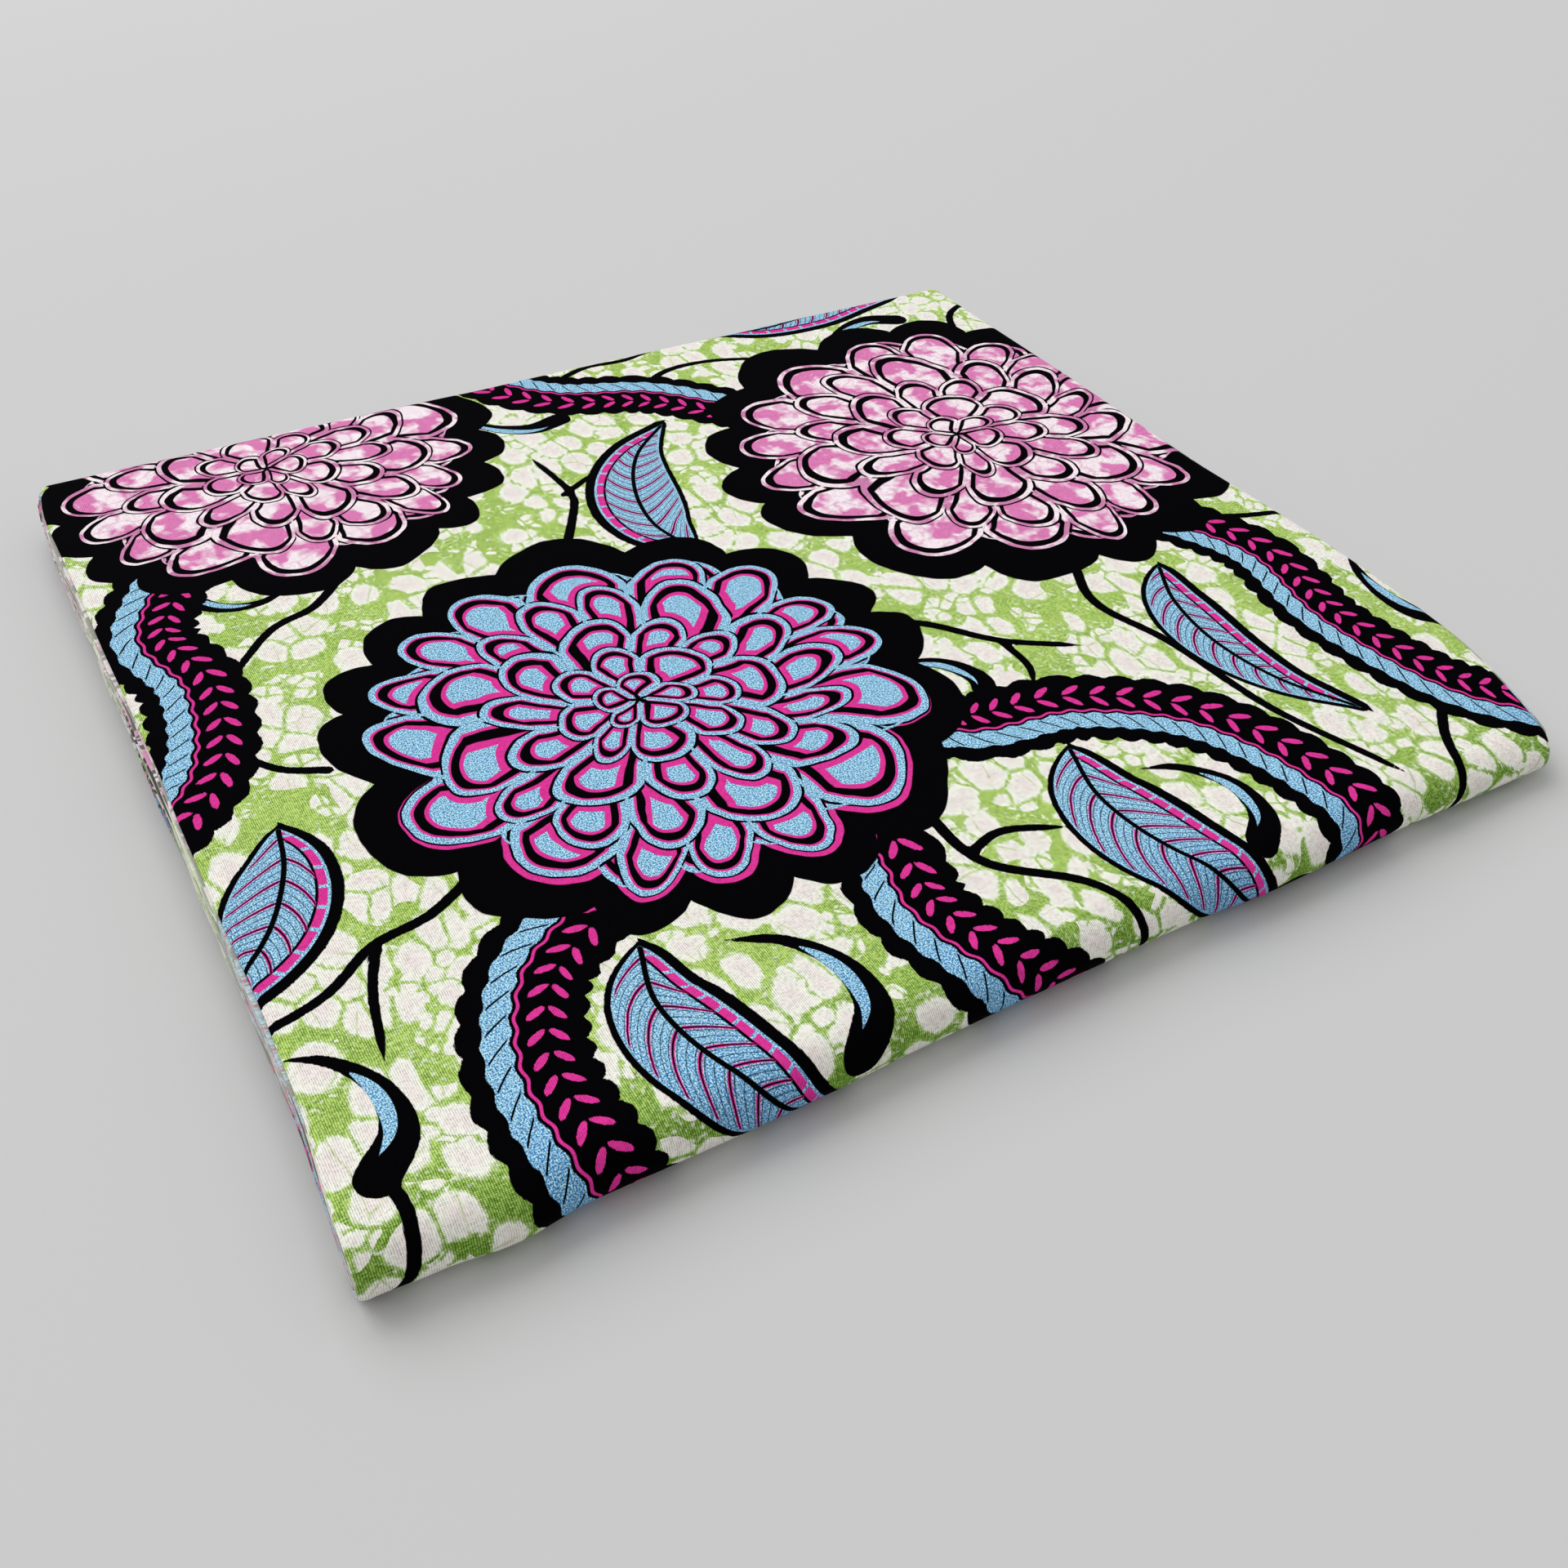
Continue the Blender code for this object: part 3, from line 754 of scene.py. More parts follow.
def stack_end(side):
    """One layered end of the stack as a grid: rows along its path, columns through its thickness.

    Every loop of two plies stands out unevenly from the cloth's end, round at its crest, with a narrow
    valley to the next loop.
    """
    if side < 0:
        end_x, outline, depth = left_end, left_outline, LEFT_DEPTH
    else:
        end_x, outline, depth = right_end, right_outline, RIGHT_DEPTH
    lines = band_rows(depth)
    count = round(LOOPS_PER_BAND * STEPS_PER_LOOP)
    through = np.linspace(0.0, 1.0, count + 1)[None, :, None]
    places = lines[:, None, :2] * (1 - through) + lines[:, None, 2:] * through
    y = places[..., 0]
    run = runs_along((lines[:, :2] + lines[:, 2:]) / 2)[:, None]
    room = np.abs(outline(y) - end_x(y))
    loop = np.arange(count + 1) / STEPS_PER_LOOP
    numbers = np.arange(math.ceil(LOOPS_PER_BAND))
    number = np.minimum(loop.astype(int), numbers[-1])
    taper = ease(np.minimum(run, run[-1] - run) / CORNER_TAPER)
    shift, turn = 1.37 * numbers + 0.8 * side, 0.9 * numbers + 2.0 * side
    level = uneven_levels(run * 1.3, END_WAVE, shift, END_STEP, turn) * taper
    none = np.zeros_like(run)
    valleys = np.concatenate([none, np.minimum(level[:, :-1], level[:, 1:]), none], axis=1)
    into = loop - number
    crest = np.sqrt(np.clip(1.0 - (2.0 * into - 1.0) ** 2, 0.0, None)) ** 0.5
    valley = valleys[:, number + (into > 0.5)]
    own = level[:, number]
    out = room * (valley + (own - valley) * crest) - PLY_VALLEY + (PLY_VALLEY + PLY_BULGE) * crest
    out = np.where((into == 0.0) | (loop == loop[-1]), room * valleys[:, number] - PLY_VALLEY, out)
    out[:, [0, -1]] = -PLY_VALLEY
    x = end_x(y) + side * out * np.maximum(taper, 0.1)
    first_across = PLY_MARGIN + np.mod(PLY_ACROSS * number + SIDE_ACROSS * side, PLY_ACROSS_SPAN)
    across = first_across + PLY_HALF_SHOWN * np.cos(math.pi * into)
    up = np.mod(run / MM + PLY_UP * number, PLY_UP_SPAN) - PLY_UP_START
    return np.stack([x, y, places[..., 1]], axis=-1), ply_fields(across, up, loop, 0.0)


def ply_fields(across, up, ply, selvedge):
    """The print's fields at places of the flat cloth, with the ply's number and whether it is a selvedge."""
    across, up, ply, selvedge = np.broadcast_arrays(across, up, ply, selvedge)
    return {**print_fields(across, up), "ply_place": np.stack([across, ply, selvedge], axis=-1)}


def place_on_map(shape, low, high):
    """Places on the bake map of a grid that takes a strip of it from low to high."""
    rows, columns = np.linspace(0.0, 1.0, shape[0]), np.linspace(low, high, shape[1])
    return np.stack(np.meshgrid(rows, columns, indexing="ij"), axis=-1)


def make_layers():
    """The hidden plies as one closed body: layered ends, selvedges at the back, and a plain skin between."""
    left, left_fields = stack_end(-1)
    right, right_fields = stack_end(1)
    share = np.linspace(0.0, 1.0, ACROSS_STEPS + 1)
    end_depth = np.where(share < 0.5, LEFT_DEPTH, RIGHT_DEPTH)
    inwards = ease(BUNDLE_LENGTH * np.minimum(share / HIDDEN_REACH, (1 - share) / LAYER_CORNER_REACH))
    depth = end_depth + (LAYER_DEPTH - end_depth) * inwards
    lines = np.stack([band_rows(one)[:, :2] for one in depth], axis=1)

    # The skin leaves out the rows where the stack lies against itself
    inner_start = 2 * (STRAIGHT_STEPS + 1) + SELVEDGE_STEPS + 2 * (TURN_STEPS - 1)
    last_row = len(lines)
    skin = np.r_[0 : inner_start + NOTCH_STEPS + 1, last_row - SELVEDGE_STEPS - NOTCH_STEPS : last_row]
    x = left[skin, :1, 0] + share * (right[skin, :1, 0] - left[skin, :1, 0])
    skin_grid = np.concatenate([x[..., None], lines[skin]], axis=-1)
    skin_grid[:, 0] = left[skin, 0]
    skin_grid[:, -1] = right[skin, 0]

    # The back joins both ends' first and last rows, and its plies' selvedges stand out from it
    back_left = np.concatenate([left[0], left[-1, ::-1]])
    back_right = np.concatenate([right[0], right[-1, ::-1]])
    back = back_left[:, None] + share[None, :, None] * (back_right - back_left)[:, None]
    steps = np.arange(len(back_left) // 2)
    ply = np.concatenate([steps, 2 * len(steps) - 2 - steps[::-1]])[:, None] / STEPS_PER_PLY
    number = ply.astype(int)
    crest = np.clip(1.0 - np.abs(2.0 * (ply - number) - 1.0) ** 4, 0.0, None)
    from_end = np.minimum(share, 1 - share) * BUNDLE_LENGTH
    numbers = np.arange(number.max() + 1)[:, None]
    back_run = share * BUNDLE_LENGTH
    level = uneven_levels(back_run * 1.2, BACK_WAVE, 1.21 * numbers, BACK_STEP, 0.8 * numbers)
    level = (level * ease(from_end / CORNER_TAPER))[number[:, 0]]
    stand_out = (SELVEDGE_INSET - PLY_BULGE) * level * (0.55 + 0.45 * crest)
    stand_out[[0, -1]] = 0.0
    back[..., 1] += stand_out
    back_fields = ply_fields(back_run / MM, BACK_PRINT_START + BACK_PRINT_STEP * ply, ply, 1.0)
    skin_run = runs_along(lines[skin, len(share) // 2])[:, None] - UNDER_RUN - FRONT_RUN + FRONT_RADIUS
    skin_fields = ply_fields((x + HALF_LENGTH) / MM, skin_run / MM, -0.5, 0.0)
    strips = (
        (left, left_fields, 0.00, 0.30),
        (right, right_fields, 0.31, 0.61),
        (back, back_fields, 0.62, 0.94),
        (skin_grid, skin_fields, 0.95, 1.00),
    )
    grids = [(grid, fields, place_on_map(grid.shape[:2], *strip)) for grid, fields, *strip in strips]
    return sew("layered_plies", grids)


def both_orders(operation):
    """A step of arithmetic for a field's operators, with the field first and with it last."""

    def field_first(field, other):
        return reckon(operation, field, other)

    def field_last(field, other):
        return reckon(operation, other, field)

    return field_first, field_last


class Field:
    """A number, place or colour at each point of a surface.

    Sums with fields are worked out at each point, so that the print below reads as plain formulas.
    """

    def __init__(self, socket):
        self.socket = socket

    __add__, __radd__ = both_orders("ADD")
    __sub__, __rsub__ = both_orders("SUBTRACT")
    __mul__, __rmul__ = both_orders("MULTIPLY")
    __truediv__, __rtruediv__ = both_orders("DIVIDE")
    __pow__, __rpow__ = both_orders("POWER")


def join(value, socket):
    """Links a field to a socket, or sets a plain value on it."""
    if isinstance(value, Field):
        socket.id_data.links.new(value.socket, socket)
    else:
        socket.default_value = value


def node_of(kind, inputs, **settings):
    """A new node beside the fields that it reads, with its settings, and its inputs joined or set."""
    tree = next(value.socket.id_data for value in inputs.values() if isinstance(value, Field))
    node = tree.nodes.new(kind)
    for name, setting in settings.items():
        setattr(node, name, setting)
    for place, value in inputs.items():
        join(value, node.inputs[place])
    return node


def reckon(operation, *values, clamp=False):
    """One step of arithmetic with numbers."""
    node = node_of("ShaderNodeMath", dict(enumerate(values)), operation=operation, use_clamp=clamp)
    return Field(node.outputs[0])


def arrow(operation, first, second=None):
    """One step of arithmetic with places."""
    inputs = {0: first}
    if second is not None:
        inputs["Scale" if operation == "SCALE" else 1] = second
    node = node_of("ShaderNodeVectorMath", inputs, operation=operation)
    return Field(node.outputs["Value" if operation in ("LENGTH", "DOT_PRODUCT") else "Vector"])


def ramp(field, slope, start):
    """A field times a slope and plus a start, held between 0 and 1."""
    return reckon("MULTIPLY_ADD", field, slope, start, clamp=True)


def cover(gap, soft=0.16):
    """1 where a gap in millimetres is above 0, 0 where it is below, with a narrow soft edge."""
    return ramp(gap, 1.0 / soft, 0.5)


def either(first, second):
    """The greater of two fields."""
    return reckon("MAXIMUM", first, second)


def both(first, second):
    """The smaller of two fields."""
    return reckon("MINIMUM", first, second)


def size_of(field):
    """A number without its sign."""
    return reckon("ABSOLUTE", field)


def mix(factor, first, second, colour=False):
    """The first where a factor is 0, the second where it is 1."""
    plain = [colour and not isinstance(value, Field) for value in (first, second)]
    values = [(*value, 1.0) if flat else value for value, flat in zip((first, second), plain)]
    inputs = dict(zip((0, 6, 7) if colour else (0, 2, 3), (factor, *values)))
    node = node_of("ShaderNodeMix", inputs, data_type="RGBA" if colour else "FLOAT")
    return Field(node.outputs[2 if colour else 0])


def sharp(across, width, gap):
    """Gap inside a line, by its signed distance, which keeps thin lines whole, close to the line."""
    return both(width - size_of(across), either(0.45 - width * 0.3, 0.0) - gap)


def coats(below, colours, *layers):
    """Lays inks over what is below them, each given by its name and by where it lies."""
    for name, amount in layers:
        below = mix(amount, below, colours[name], colour=True)
    return below


def parts(field):
    """The three numbers of a place or colour."""
    return [Field(socket) for socket in node_of("ShaderNodeSeparateXYZ", {0: field}).outputs]


def read(tree, name):
    """What a mesh attribute holds."""
    node = tree.nodes.new("ShaderNodeAttribute")
    node.attribute_name = name
    return Field(node.outputs["Vector"])


def noise(place, size, detail=2.0, rough=0.5, coloured=False):
    """Cloudy noise from about 0 to 1 whose clouds are a size across."""
    inputs = {"Vector": place, "Scale": 1.0 / size, "Detail": detail, "Roughness": rough}
    node = node_of("ShaderNodeTexNoise", inputs, noise_dimensions="2D")
    return Field(node.outputs["Color" if coloured else "Fac"])


def cell_node(place, size, feature):
    """Uneven cells a size across."""
    inputs = {"Vector": place, "Scale": 1.0 / size, "Randomness": 0.9}
    return node_of("ShaderNodeTexVoronoi", inputs, voronoi_dimensions="2D", feature=feature)


def cells(place, size):
    """Distance to a cell's middle, as a share of the size, and a number from 0 to 1 for each cell."""
    node = cell_node(place, size, "F1")
    return Field(node.outputs["Distance"]), parts(Field(node.outputs["Color"]))[0]


def cell_border(place, size):
    """Distance to the border of a cell, in millimetres."""
    return Field(cell_node(place, size, "DISTANCE_TO_EDGE").outputs["Distance"]) * size


def turned(place, degrees, stretch):
    """Place turned about the origin, then squeezed across, for patterns that run one way."""
    inputs = {"Vector": place, "Rotation": (0.0, 0.0, math.radians(degrees)), "Scale": (1.0, stretch, 1.0)}
    return Field(node_of("ShaderNodeMapping", inputs).outputs["Vector"])


def any_number(seed):
    """Number from 0 to 1 that stays the same for the same seed."""
    return Field(node_of("ShaderNodeTexWhiteNoise", {"W": seed}, noise_dimensions="1D").outputs["Value"])


def wander(place, size, amount, detail=1.0):
    """Place moved about by noise, so that no line is quite true."""
    push = arrow("SUBTRACT", noise(place, size, detail, coloured=True), (0.5, 0.5, 0.5))
    flat = arrow("MULTIPLY", push, (amount, amount, 0.0))
    return arrow("ADD", place, flat)


def from_middle(along, pitch):
    """Signed distance to the middle of the repeat that a place lies in."""
    return (reckon("FRACT", along / pitch) - 0.5) * pitch


def petal_rings(place):
    """Rings of petals round a bloom's middle, from the outermost in.

    In each ring the angle is cut into petals, some wider than others by a sine, which lean a little. A
    petal's tip line lies at a radius that falls from its middle to its sides by a power, and the distance
    to that line is divided by its slope, so that lines keep their width. Each ring hides the ones before
    it. Returned are the gap inside the petal's own edge, the gap outside the rings that lie on it, the
    way across the petal, the radius, and the way across the largest petals.
    """
    across, up, _ = parts(place)
    radius = arrow("LENGTH", place)
    turns = reckon("ARCTAN2", up, across) * (0.5 / math.pi)
    inside = outside = way = scallop_way = None
    for tip, count, shift, notch, lean in RINGS:
        spread = turns + reckon("SINE", turns * (6 * math.pi) + tip) * PETAL_SPREAD
        petal = spread * count + radius * lean + shift
        own_way = size_of(reckon("FRACT", petal) * 2.0 - 1.0)
        steep = own_way ** (PETAL_POINT - 1.0)
        number = reckon("FLOORED_MODULO", reckon("FLOOR", petal), count)
        longest = tip - any_number(number + tip) * (tip * PETAL_UNEVEN)
        line = longest - steep * own_way * (tip * notch)
        slope = steep / radius * (tip * notch * PETAL_POINT * count / math.pi)
        straight = reckon("SQRT", reckon("MULTIPLY_ADD", slope, slope, 1.0))
        gap = (line - radius) / straight
        edge = both(gap, (1.0 - own_way) * radius * (math.pi / count))
        if inside is None:
            inside, outside, way = edge, FAR_AWAY, own_way
            continue
        scallop_way = scallop_way or own_way
        within = reckon("GREATER_THAN", gap, 0.0)
        inside = mix(within, inside, edge)
        outside = mix(within, both(outside, gap * -1.0), FAR_AWAY)
        way = mix(within, way, own_way)
    return inside, outside, way, radius, scallop_way


def draw_bloom(below, colours, place, blue, far):
    """A bloom of many petals on a black halo, in pink and white or in blue and magenta.

    Inside each petal's edge lie a light line, a thin line, a black crescent that is thickest at the tip,
    and the petal's own colour. The blue bloom's petals have a blue patch in their middle, and a magenta
    line runs a little outside its lower side. Lines grow wider with the radius.
    """
    drawn = wander(wander(place, 34.0, 8.0, 0.0), 7.0, 1.0, 1.0)
    inside, outside, way, radius, scallop_way = petal_rings(drawn)
    grown = ramp(radius, 1.0 / LINES_GROW_OVER, 0.32)
    line = grown * mix(blue, 1.35, 1.75) + 0.15
    thin = line + grown * blue * 0.7
    crescent = thin + 0.35 + (1.0 - way * way) * grown * 2.4
    patch = both(inside - crescent - grown * 1.1 - 0.15, outside - 2.0 * grown - 0.6)
    colours = {**colours, "petal": mix(blue, colours["marbled"], colours["magenta"], colour=True)}
    petals = coats(
        mix(blue, colours["petal line"], colours["blue"], colour=True),
        colours,
        ("magenta", cover(inside - line)),
        ("black", cover(inside - thin)),
        ("petal", cover(inside - crescent)),
        ("blue", cover(patch) * blue),
        ("black", cover(0.2 + grown * 0.5 - outside) * cover(inside - line * 0.3)),
        ("black", cover(HEART_RADIUS - way * 2.2 - radius)),
    )
    lower_side = ramp(arrow("DOT_PRODUCT", place, LOWER_SIDE), 1.0, -0.3)
    offset = both(outside - 0.5, 0.3 + lower_side * blue * 1.8 - outside)
    halo = mix(cover(offset) * blue, colours["black"], colours["magenta"], colour=True)
    scallop = HALO - (HALO * HALO_NOTCH) * scallop_way**2.0
    near = reckon("LESS_THAN", far, HALO + 2.0)
    whole = mix(cover(inside), halo, petals, colour=True)
    return mix(cover(scallop - radius, 0.3) * near, below, whole, colour=True)


def draw_band(below, colours, across, along, width, gap, rough):
    """A black band with two rows of slanting magenta leaflets, a blue twisted cord and a thin line."""
    share = across * (BAND_HALF / either(width, 1.0))
    ripple = size_of(reckon("SINE", along * (math.pi / RIPPLE_PITCH))) * RIPPLE_DEPTH
    leaflets = []
    for middle, lean in LEAFLET_ROWS:
        over = share - middle
        step = from_middle(along - over * lean, LEAFLET_PITCH)
        reach = reckon("SQRT", step * step * 1.35 + over * over * 0.62)
        leaflets.append(LEAFLET_SIZE + rough * 0.5 - reach)
    sway = reckon("SINE", along * (2 * math.pi / CORD_PITCH)) * CORD_SWAY
    twist = size_of(from_middle(along + share * CORD_LEAN, CORD_PITCH))
    cord = CORD_HALF + rough * 0.5 - size_of(share + CORD_MIDDLE + sway)
    thin = THIN_LINE - size_of(share + THIN_LINE_MIDDLE + sway)
    inside = cover(gap * -1.0 - 0.7)
    return coats(
        below,
        colours,
        ("black", cover(ripple - gap + rough * 0.7 - 1.0)),
        ("magenta", cover(either(*leaflets)) * inside),
        ("blue", cover(cord) * inside),
        ("black", cover(both(TWIST_LINE - twist, cord - 0.5)) * inside),
        ("magenta", cover(thin) * inside),
    )


def draw_leaf(below, colours, across, along, width, gap, rough):
    """A blue leaf with a black outline, a black midrib and side veins, and a magenta rim on one side."""
    rim_side = reckon("GREATER_THAN", across, 0.0)
    half = size_of(across)
    from_edge = width - half
    body = cover(from_edge - 0.2)
    rim = both(from_edge - RIM_START, RIM_END - from_edge)
    rim_pieces = size_of(from_middle(along, RIM_PITCH)) - 0.45
    bend = along - half * 0.45 - half * half / either(width, 2.0) * 0.75
    vein = size_of(from_middle(bend, VEIN_PITCH))
    fine = size_of(from_middle(bend + FINE_VEIN_PITCH / 2, FINE_VEIN_PITCH))
    within = cover(from_edge - 0.8 - rim_side * 2.4)
    return coats(
        below,
        colours,
        ("black", cover(LEAF_OUTLINE + rim_side * LEAF_OUTLINE - gap + rough * 0.5)),
        ("blue", body),
        ("magenta", cover(both(rim, rim_pieces)) * rim_side * body),
        ("black", cover(0.35 - size_of(from_edge - RIM_LINE)) * rim_side * body),
        ("black", cover(0.13 + rough * 0.2 - fine, 0.3) * within),
        ("magenta", cover(0.58 - vein) * within * cover(half - 0.8)),
        ("black", cover(0.28 - vein) * within),
        ("black", cover(0.62 - half) * body),
    )


def bubbles(place, size, tight, room):
    """Gap inside rounded bubbles a size across: each keeps to its cell, and to an oval round its middle."""
    middle, chance = cells(place, size)
    border = cell_border(place, size) - tight
    oval = (room + chance * 0.12 - middle) * size
    return reckon("SMOOTH_MIN", border, oval, size * 0.14), chance


def draw_ground(colours, flat, fringe):
    """Wax bubbles on green: rounded cells with wide green streets, small bubbles, specks and cracks."""
    loose = wander(wander(flat, 34.0, 9.0), 2.6, 0.6, 2.0)
    leaning = turned(loose, BUBBLE_LEAN, 0.78)
    streets = ramp(noise(flat, 22.0, 1.0), 5.0, -1.9)
    large, chance = bubbles(leaning, LARGE_BUBBLE, 0.42 + streets * 0.35, 0.49 - streets * 0.12)
    large = large - reckon("GREATER_THAN", chance, 0.96 - streets * 0.24) * 6.0
    where = noise(flat, 13.0, 1.0)
    small, _ = bubbles(arrow("ADD", loose, (31.0, 17.0, 0.0)), SMALL_BUBBLE, 0.42, 0.43)
    small = small - reckon("LESS_THAN", where, 0.55) * 3.0
    specks = noise(flat, 1.5, 1.0) * 2.0 - 1.36
    speck_where = noise(arrow("ADD", flat, (7.0, 3.0, 0.0)), 9.0, 0.0)
    specks = specks - reckon("LESS_THAN", speck_where, 0.48)
    wax = either(large, small) + fringe
    white = either(cover(wax, 0.5), cover(specks + fringe * 0.3, 0.5) * 0.75)
    crack = cell_border(turned(wander(flat, 12.0, 3.5, 2.0), BUBBLE_LEAN, 0.45), CRACK_SPACING)
    white = white * (1.0 - cover(0.12 - crack, 0.30) * cover(0.50 - where, 0.1) * 0.8)
    green = coats(colours["green"], colours, ("green edge", cover(wax + 0.50, 0.8) * 0.5))
    cream = mix(cover(wax - 1.4, 2.4), colours["cream"], colours["warm cream"], colour=True)
    return mix(white, green, cream, colour=True)


def thread_pattern(flat, across_pitch, up_pitch):
    """Plain weave: how light its threads are at each place, and a number from 0 to 1 for each of them.

    Threads that run up the cloth stand out as light crests, and those that cross them stand out less, with
    dark gaps between them that colour the cloth as painted shade. They wander a little, and no two crossings
    are quite as light as each other.
    """
    counted = arrow("MULTIPLY", wander(flat, 2.4, 0.3), (1.0 / across_pitch, 1.0 / up_pitch, 0.0))
    across, up, _ = parts(counted)
    crests = size_of(reckon("SINE", across * math.pi)) * 0.74 + size_of(reckon("SINE", up * math.pi)) * 0.38
    column = reckon("FLOOR", across)
    crossing = any_number(reckon("MULTIPLY_ADD", reckon("FLOOR", up), 1000.0, column))
    return crests + crossing * 0.62 - 0.40, any_number(column)


def print_colour(tree, inks):
    """Colour of the print at each place of the flat cloth, its threads and how bright its glitter is."""
    flat = read(tree, "cloth_place")
    thread, number = thread_pattern(flat, inks.across_pitch / MM, inks.up_pitch / MM)
    fringe = (number - 0.5) * 0.40 + (thread - 0.6) * 0.25
    rough = (noise(flat, 1.6, 2.0) - 0.5) * 0.65 + fringe * 0.8
    # Painted shade over the front fold: the green and the light glitter grains grow darker further down
    # round the fold
    front = ramp(parts(flat)[1], -1.0 / FOLD_SHADE_SPAN, FOLD_SHADE_END / FOLD_SHADE_SPAN)
    grains = noise(flat, GLITTER_GRAIN, 2.0, 0.7) * 6.4 - 2.68 - front * 0.35
    glitter = reckon("MAXIMUM", grains, 0.0, clamp=True)
    # Green's tone: a slow random tone, with painted shade in the gaps between threads and over the front
    # fold
    green_tone_and_shade = thread * 0.85 + noise(flat, 22.0, 2.0) * 0.3 - front * 0.60 - 0.06
    marble_place = wander(flat, 9.0, 5.0, 2.0)
    marble = ramp(noise(marble_place, 8.5, 2.0, 0.55), 7.0, -3.05)
    vein = cell_border(arrow("MULTIPLY", marble_place, (0.5, 1.0, 1.0)), 8.0)
    white_part = marble * (1.0 - cover(0.25 - vein, 0.4) * 0.38)
    colours = {
        "black": inks.black,
        "magenta": inks.magenta,
        "green": mix(green_tone_and_shade, inks.green_deep, inks.green_light, colour=True),
        "green edge": inks.green_edge,
        "cream": inks.cream,
        "warm cream": inks.cream_warm,
        "blue": mix(glitter, inks.blue_deep, inks.blue_light, colour=True),
        "marbled": mix(white_part, inks.pink, inks.pink_white, colour=True),
        "petal line": mix(marble, inks.pink_line, inks.pink_white, colour=True),
    }
    colour = coats(
        draw_ground(colours, flat, fringe),
        colours,
        ("black", cover(sharp(*parts(read(tree, "line_place"))) + rough * 0.4)),
        ("blue", cover(sharp(*parts(read(tree, "shine_place"))))),
    )
    band_gap, leaf_gap, far = parts(read(tree, "motif_gaps"))
    colour = draw_leaf(colour, colours, *parts(read(tree, "leaf_place")), leaf_gap, rough)
    colour = draw_band(colour, colours, *parts(read(tree, "band_place")), band_gap, rough)
    bloom = read(tree, "bloom_place")
    centred = arrow("MULTIPLY", bloom, (1.0, 1.0, 0.0))
    colour = draw_bloom(colour, colours, centred, parts(bloom)[2], far)
    return colour, thread, glitter


def raise_surface(shader, height, strength):
    """Lets the light fall on a surface as if threads stood up from it."""
    inputs = {"Strength": strength, "Distance": THREAD_HEIGHT, "Height": height}
    bump = node_of("ShaderNodeBump", inputs)
    join(Field(bump.outputs[0]), shader.inputs["Normal"])


def new_material(name, roughness, shine):
    """A new material and the shader that draws it, with how rough it is and how much it shines."""
    material = bpy.data.materials.new(name)
    material.use_nodes = True
    shader = material.node_tree.nodes["Principled BSDF"]
    shader.inputs["Roughness"].default_value = roughness
    shader.inputs["Specular IOR Level"].default_value = shine
    return material, shader


def printed_cotton(settings):
    """Material of the printed cloth: the print's inks on plain weave, dull, with painted shade in the
    weave's gaps.
    """
    material, shader = new_material("printed_cotton", PRINT_ROUGHNESS, COTTON_SHINE)
    colour, thread, glitter = print_colour(material.node_tree, settings)
    place = read(material.node_tree, "cloth_place")
    fibre = noise(arrow("MULTIPLY", place, (1.6, 0.35, 1.0)), 0.9, 2.0)
    # Painted shade of the weave: darker in the gaps between threads, lighter on their crests, with a random
    # tone for each crossing and fibre
    weave_shade_and_tone = ramp(thread, 0.95, 0.41)
    join(arrow("SCALE", colour, weave_shade_and_tone + fibre * 0.20), shader.inputs["Base Color"])
    join(PRINT_ROUGHNESS - glitter * GLITTER_GLOSS, shader.inputs["Roughness"])
    raise_surface(shader, thread + fibre * 0.5, 0.35)
    return material


def layered_cotton(settings):
    """Material of the plies' ends: each loop shows its own stretch of the print, selvedges are bare, and
    painted shade darkens the valleys between loops.
    """
    material, shader = new_material("printed_cotton_edges", EDGE_ROUGHNESS, COTTON_SHINE)
    colour, thread, glitter = print_colour(material.node_tree, settings)
    fibre = noise(read(material.node_tree, "cloth_place"), 0.9, 2.0)
    _, ply, selvedge = parts(read(material.node_tree, "ply_place"))
    worn = (any_number(reckon("FLOOR", ply)) * 0.6 + 0.12) * reckon("GREATER_THAN", ply, 0.0)
    colour = mix(either(selvedge * (0.35 + fibre), worn), colour, settings.cream, colour=True)
    # Painted shade: each loop of plies is darker in the valleys on both sides of it and lighter on its crest
    crest = reckon("SINE", reckon("FRACT", ply) * math.pi)
    join(arrow("SCALE", colour, (fibre * 0.3 + 0.83) * (crest * 0.35 + 0.70)), shader.inputs["Base Color"])
    raise_surface(shader, fibre, 0.3)
    return material


def colour_setting(name, description, default):
    """A colour that a user may change."""
    return bpy.props.FloatVectorProperty(
        name=name, description=description, subtype="COLOR", min=0.0, max=1.0, default=tint(*default)
    )


def length_setting(name, description, default, least=0.0):
    """A length that a user may change."""
    return bpy.props.FloatProperty(
        name=name, description=description, default=default, min=least, unit="LENGTH", precision=6
    )


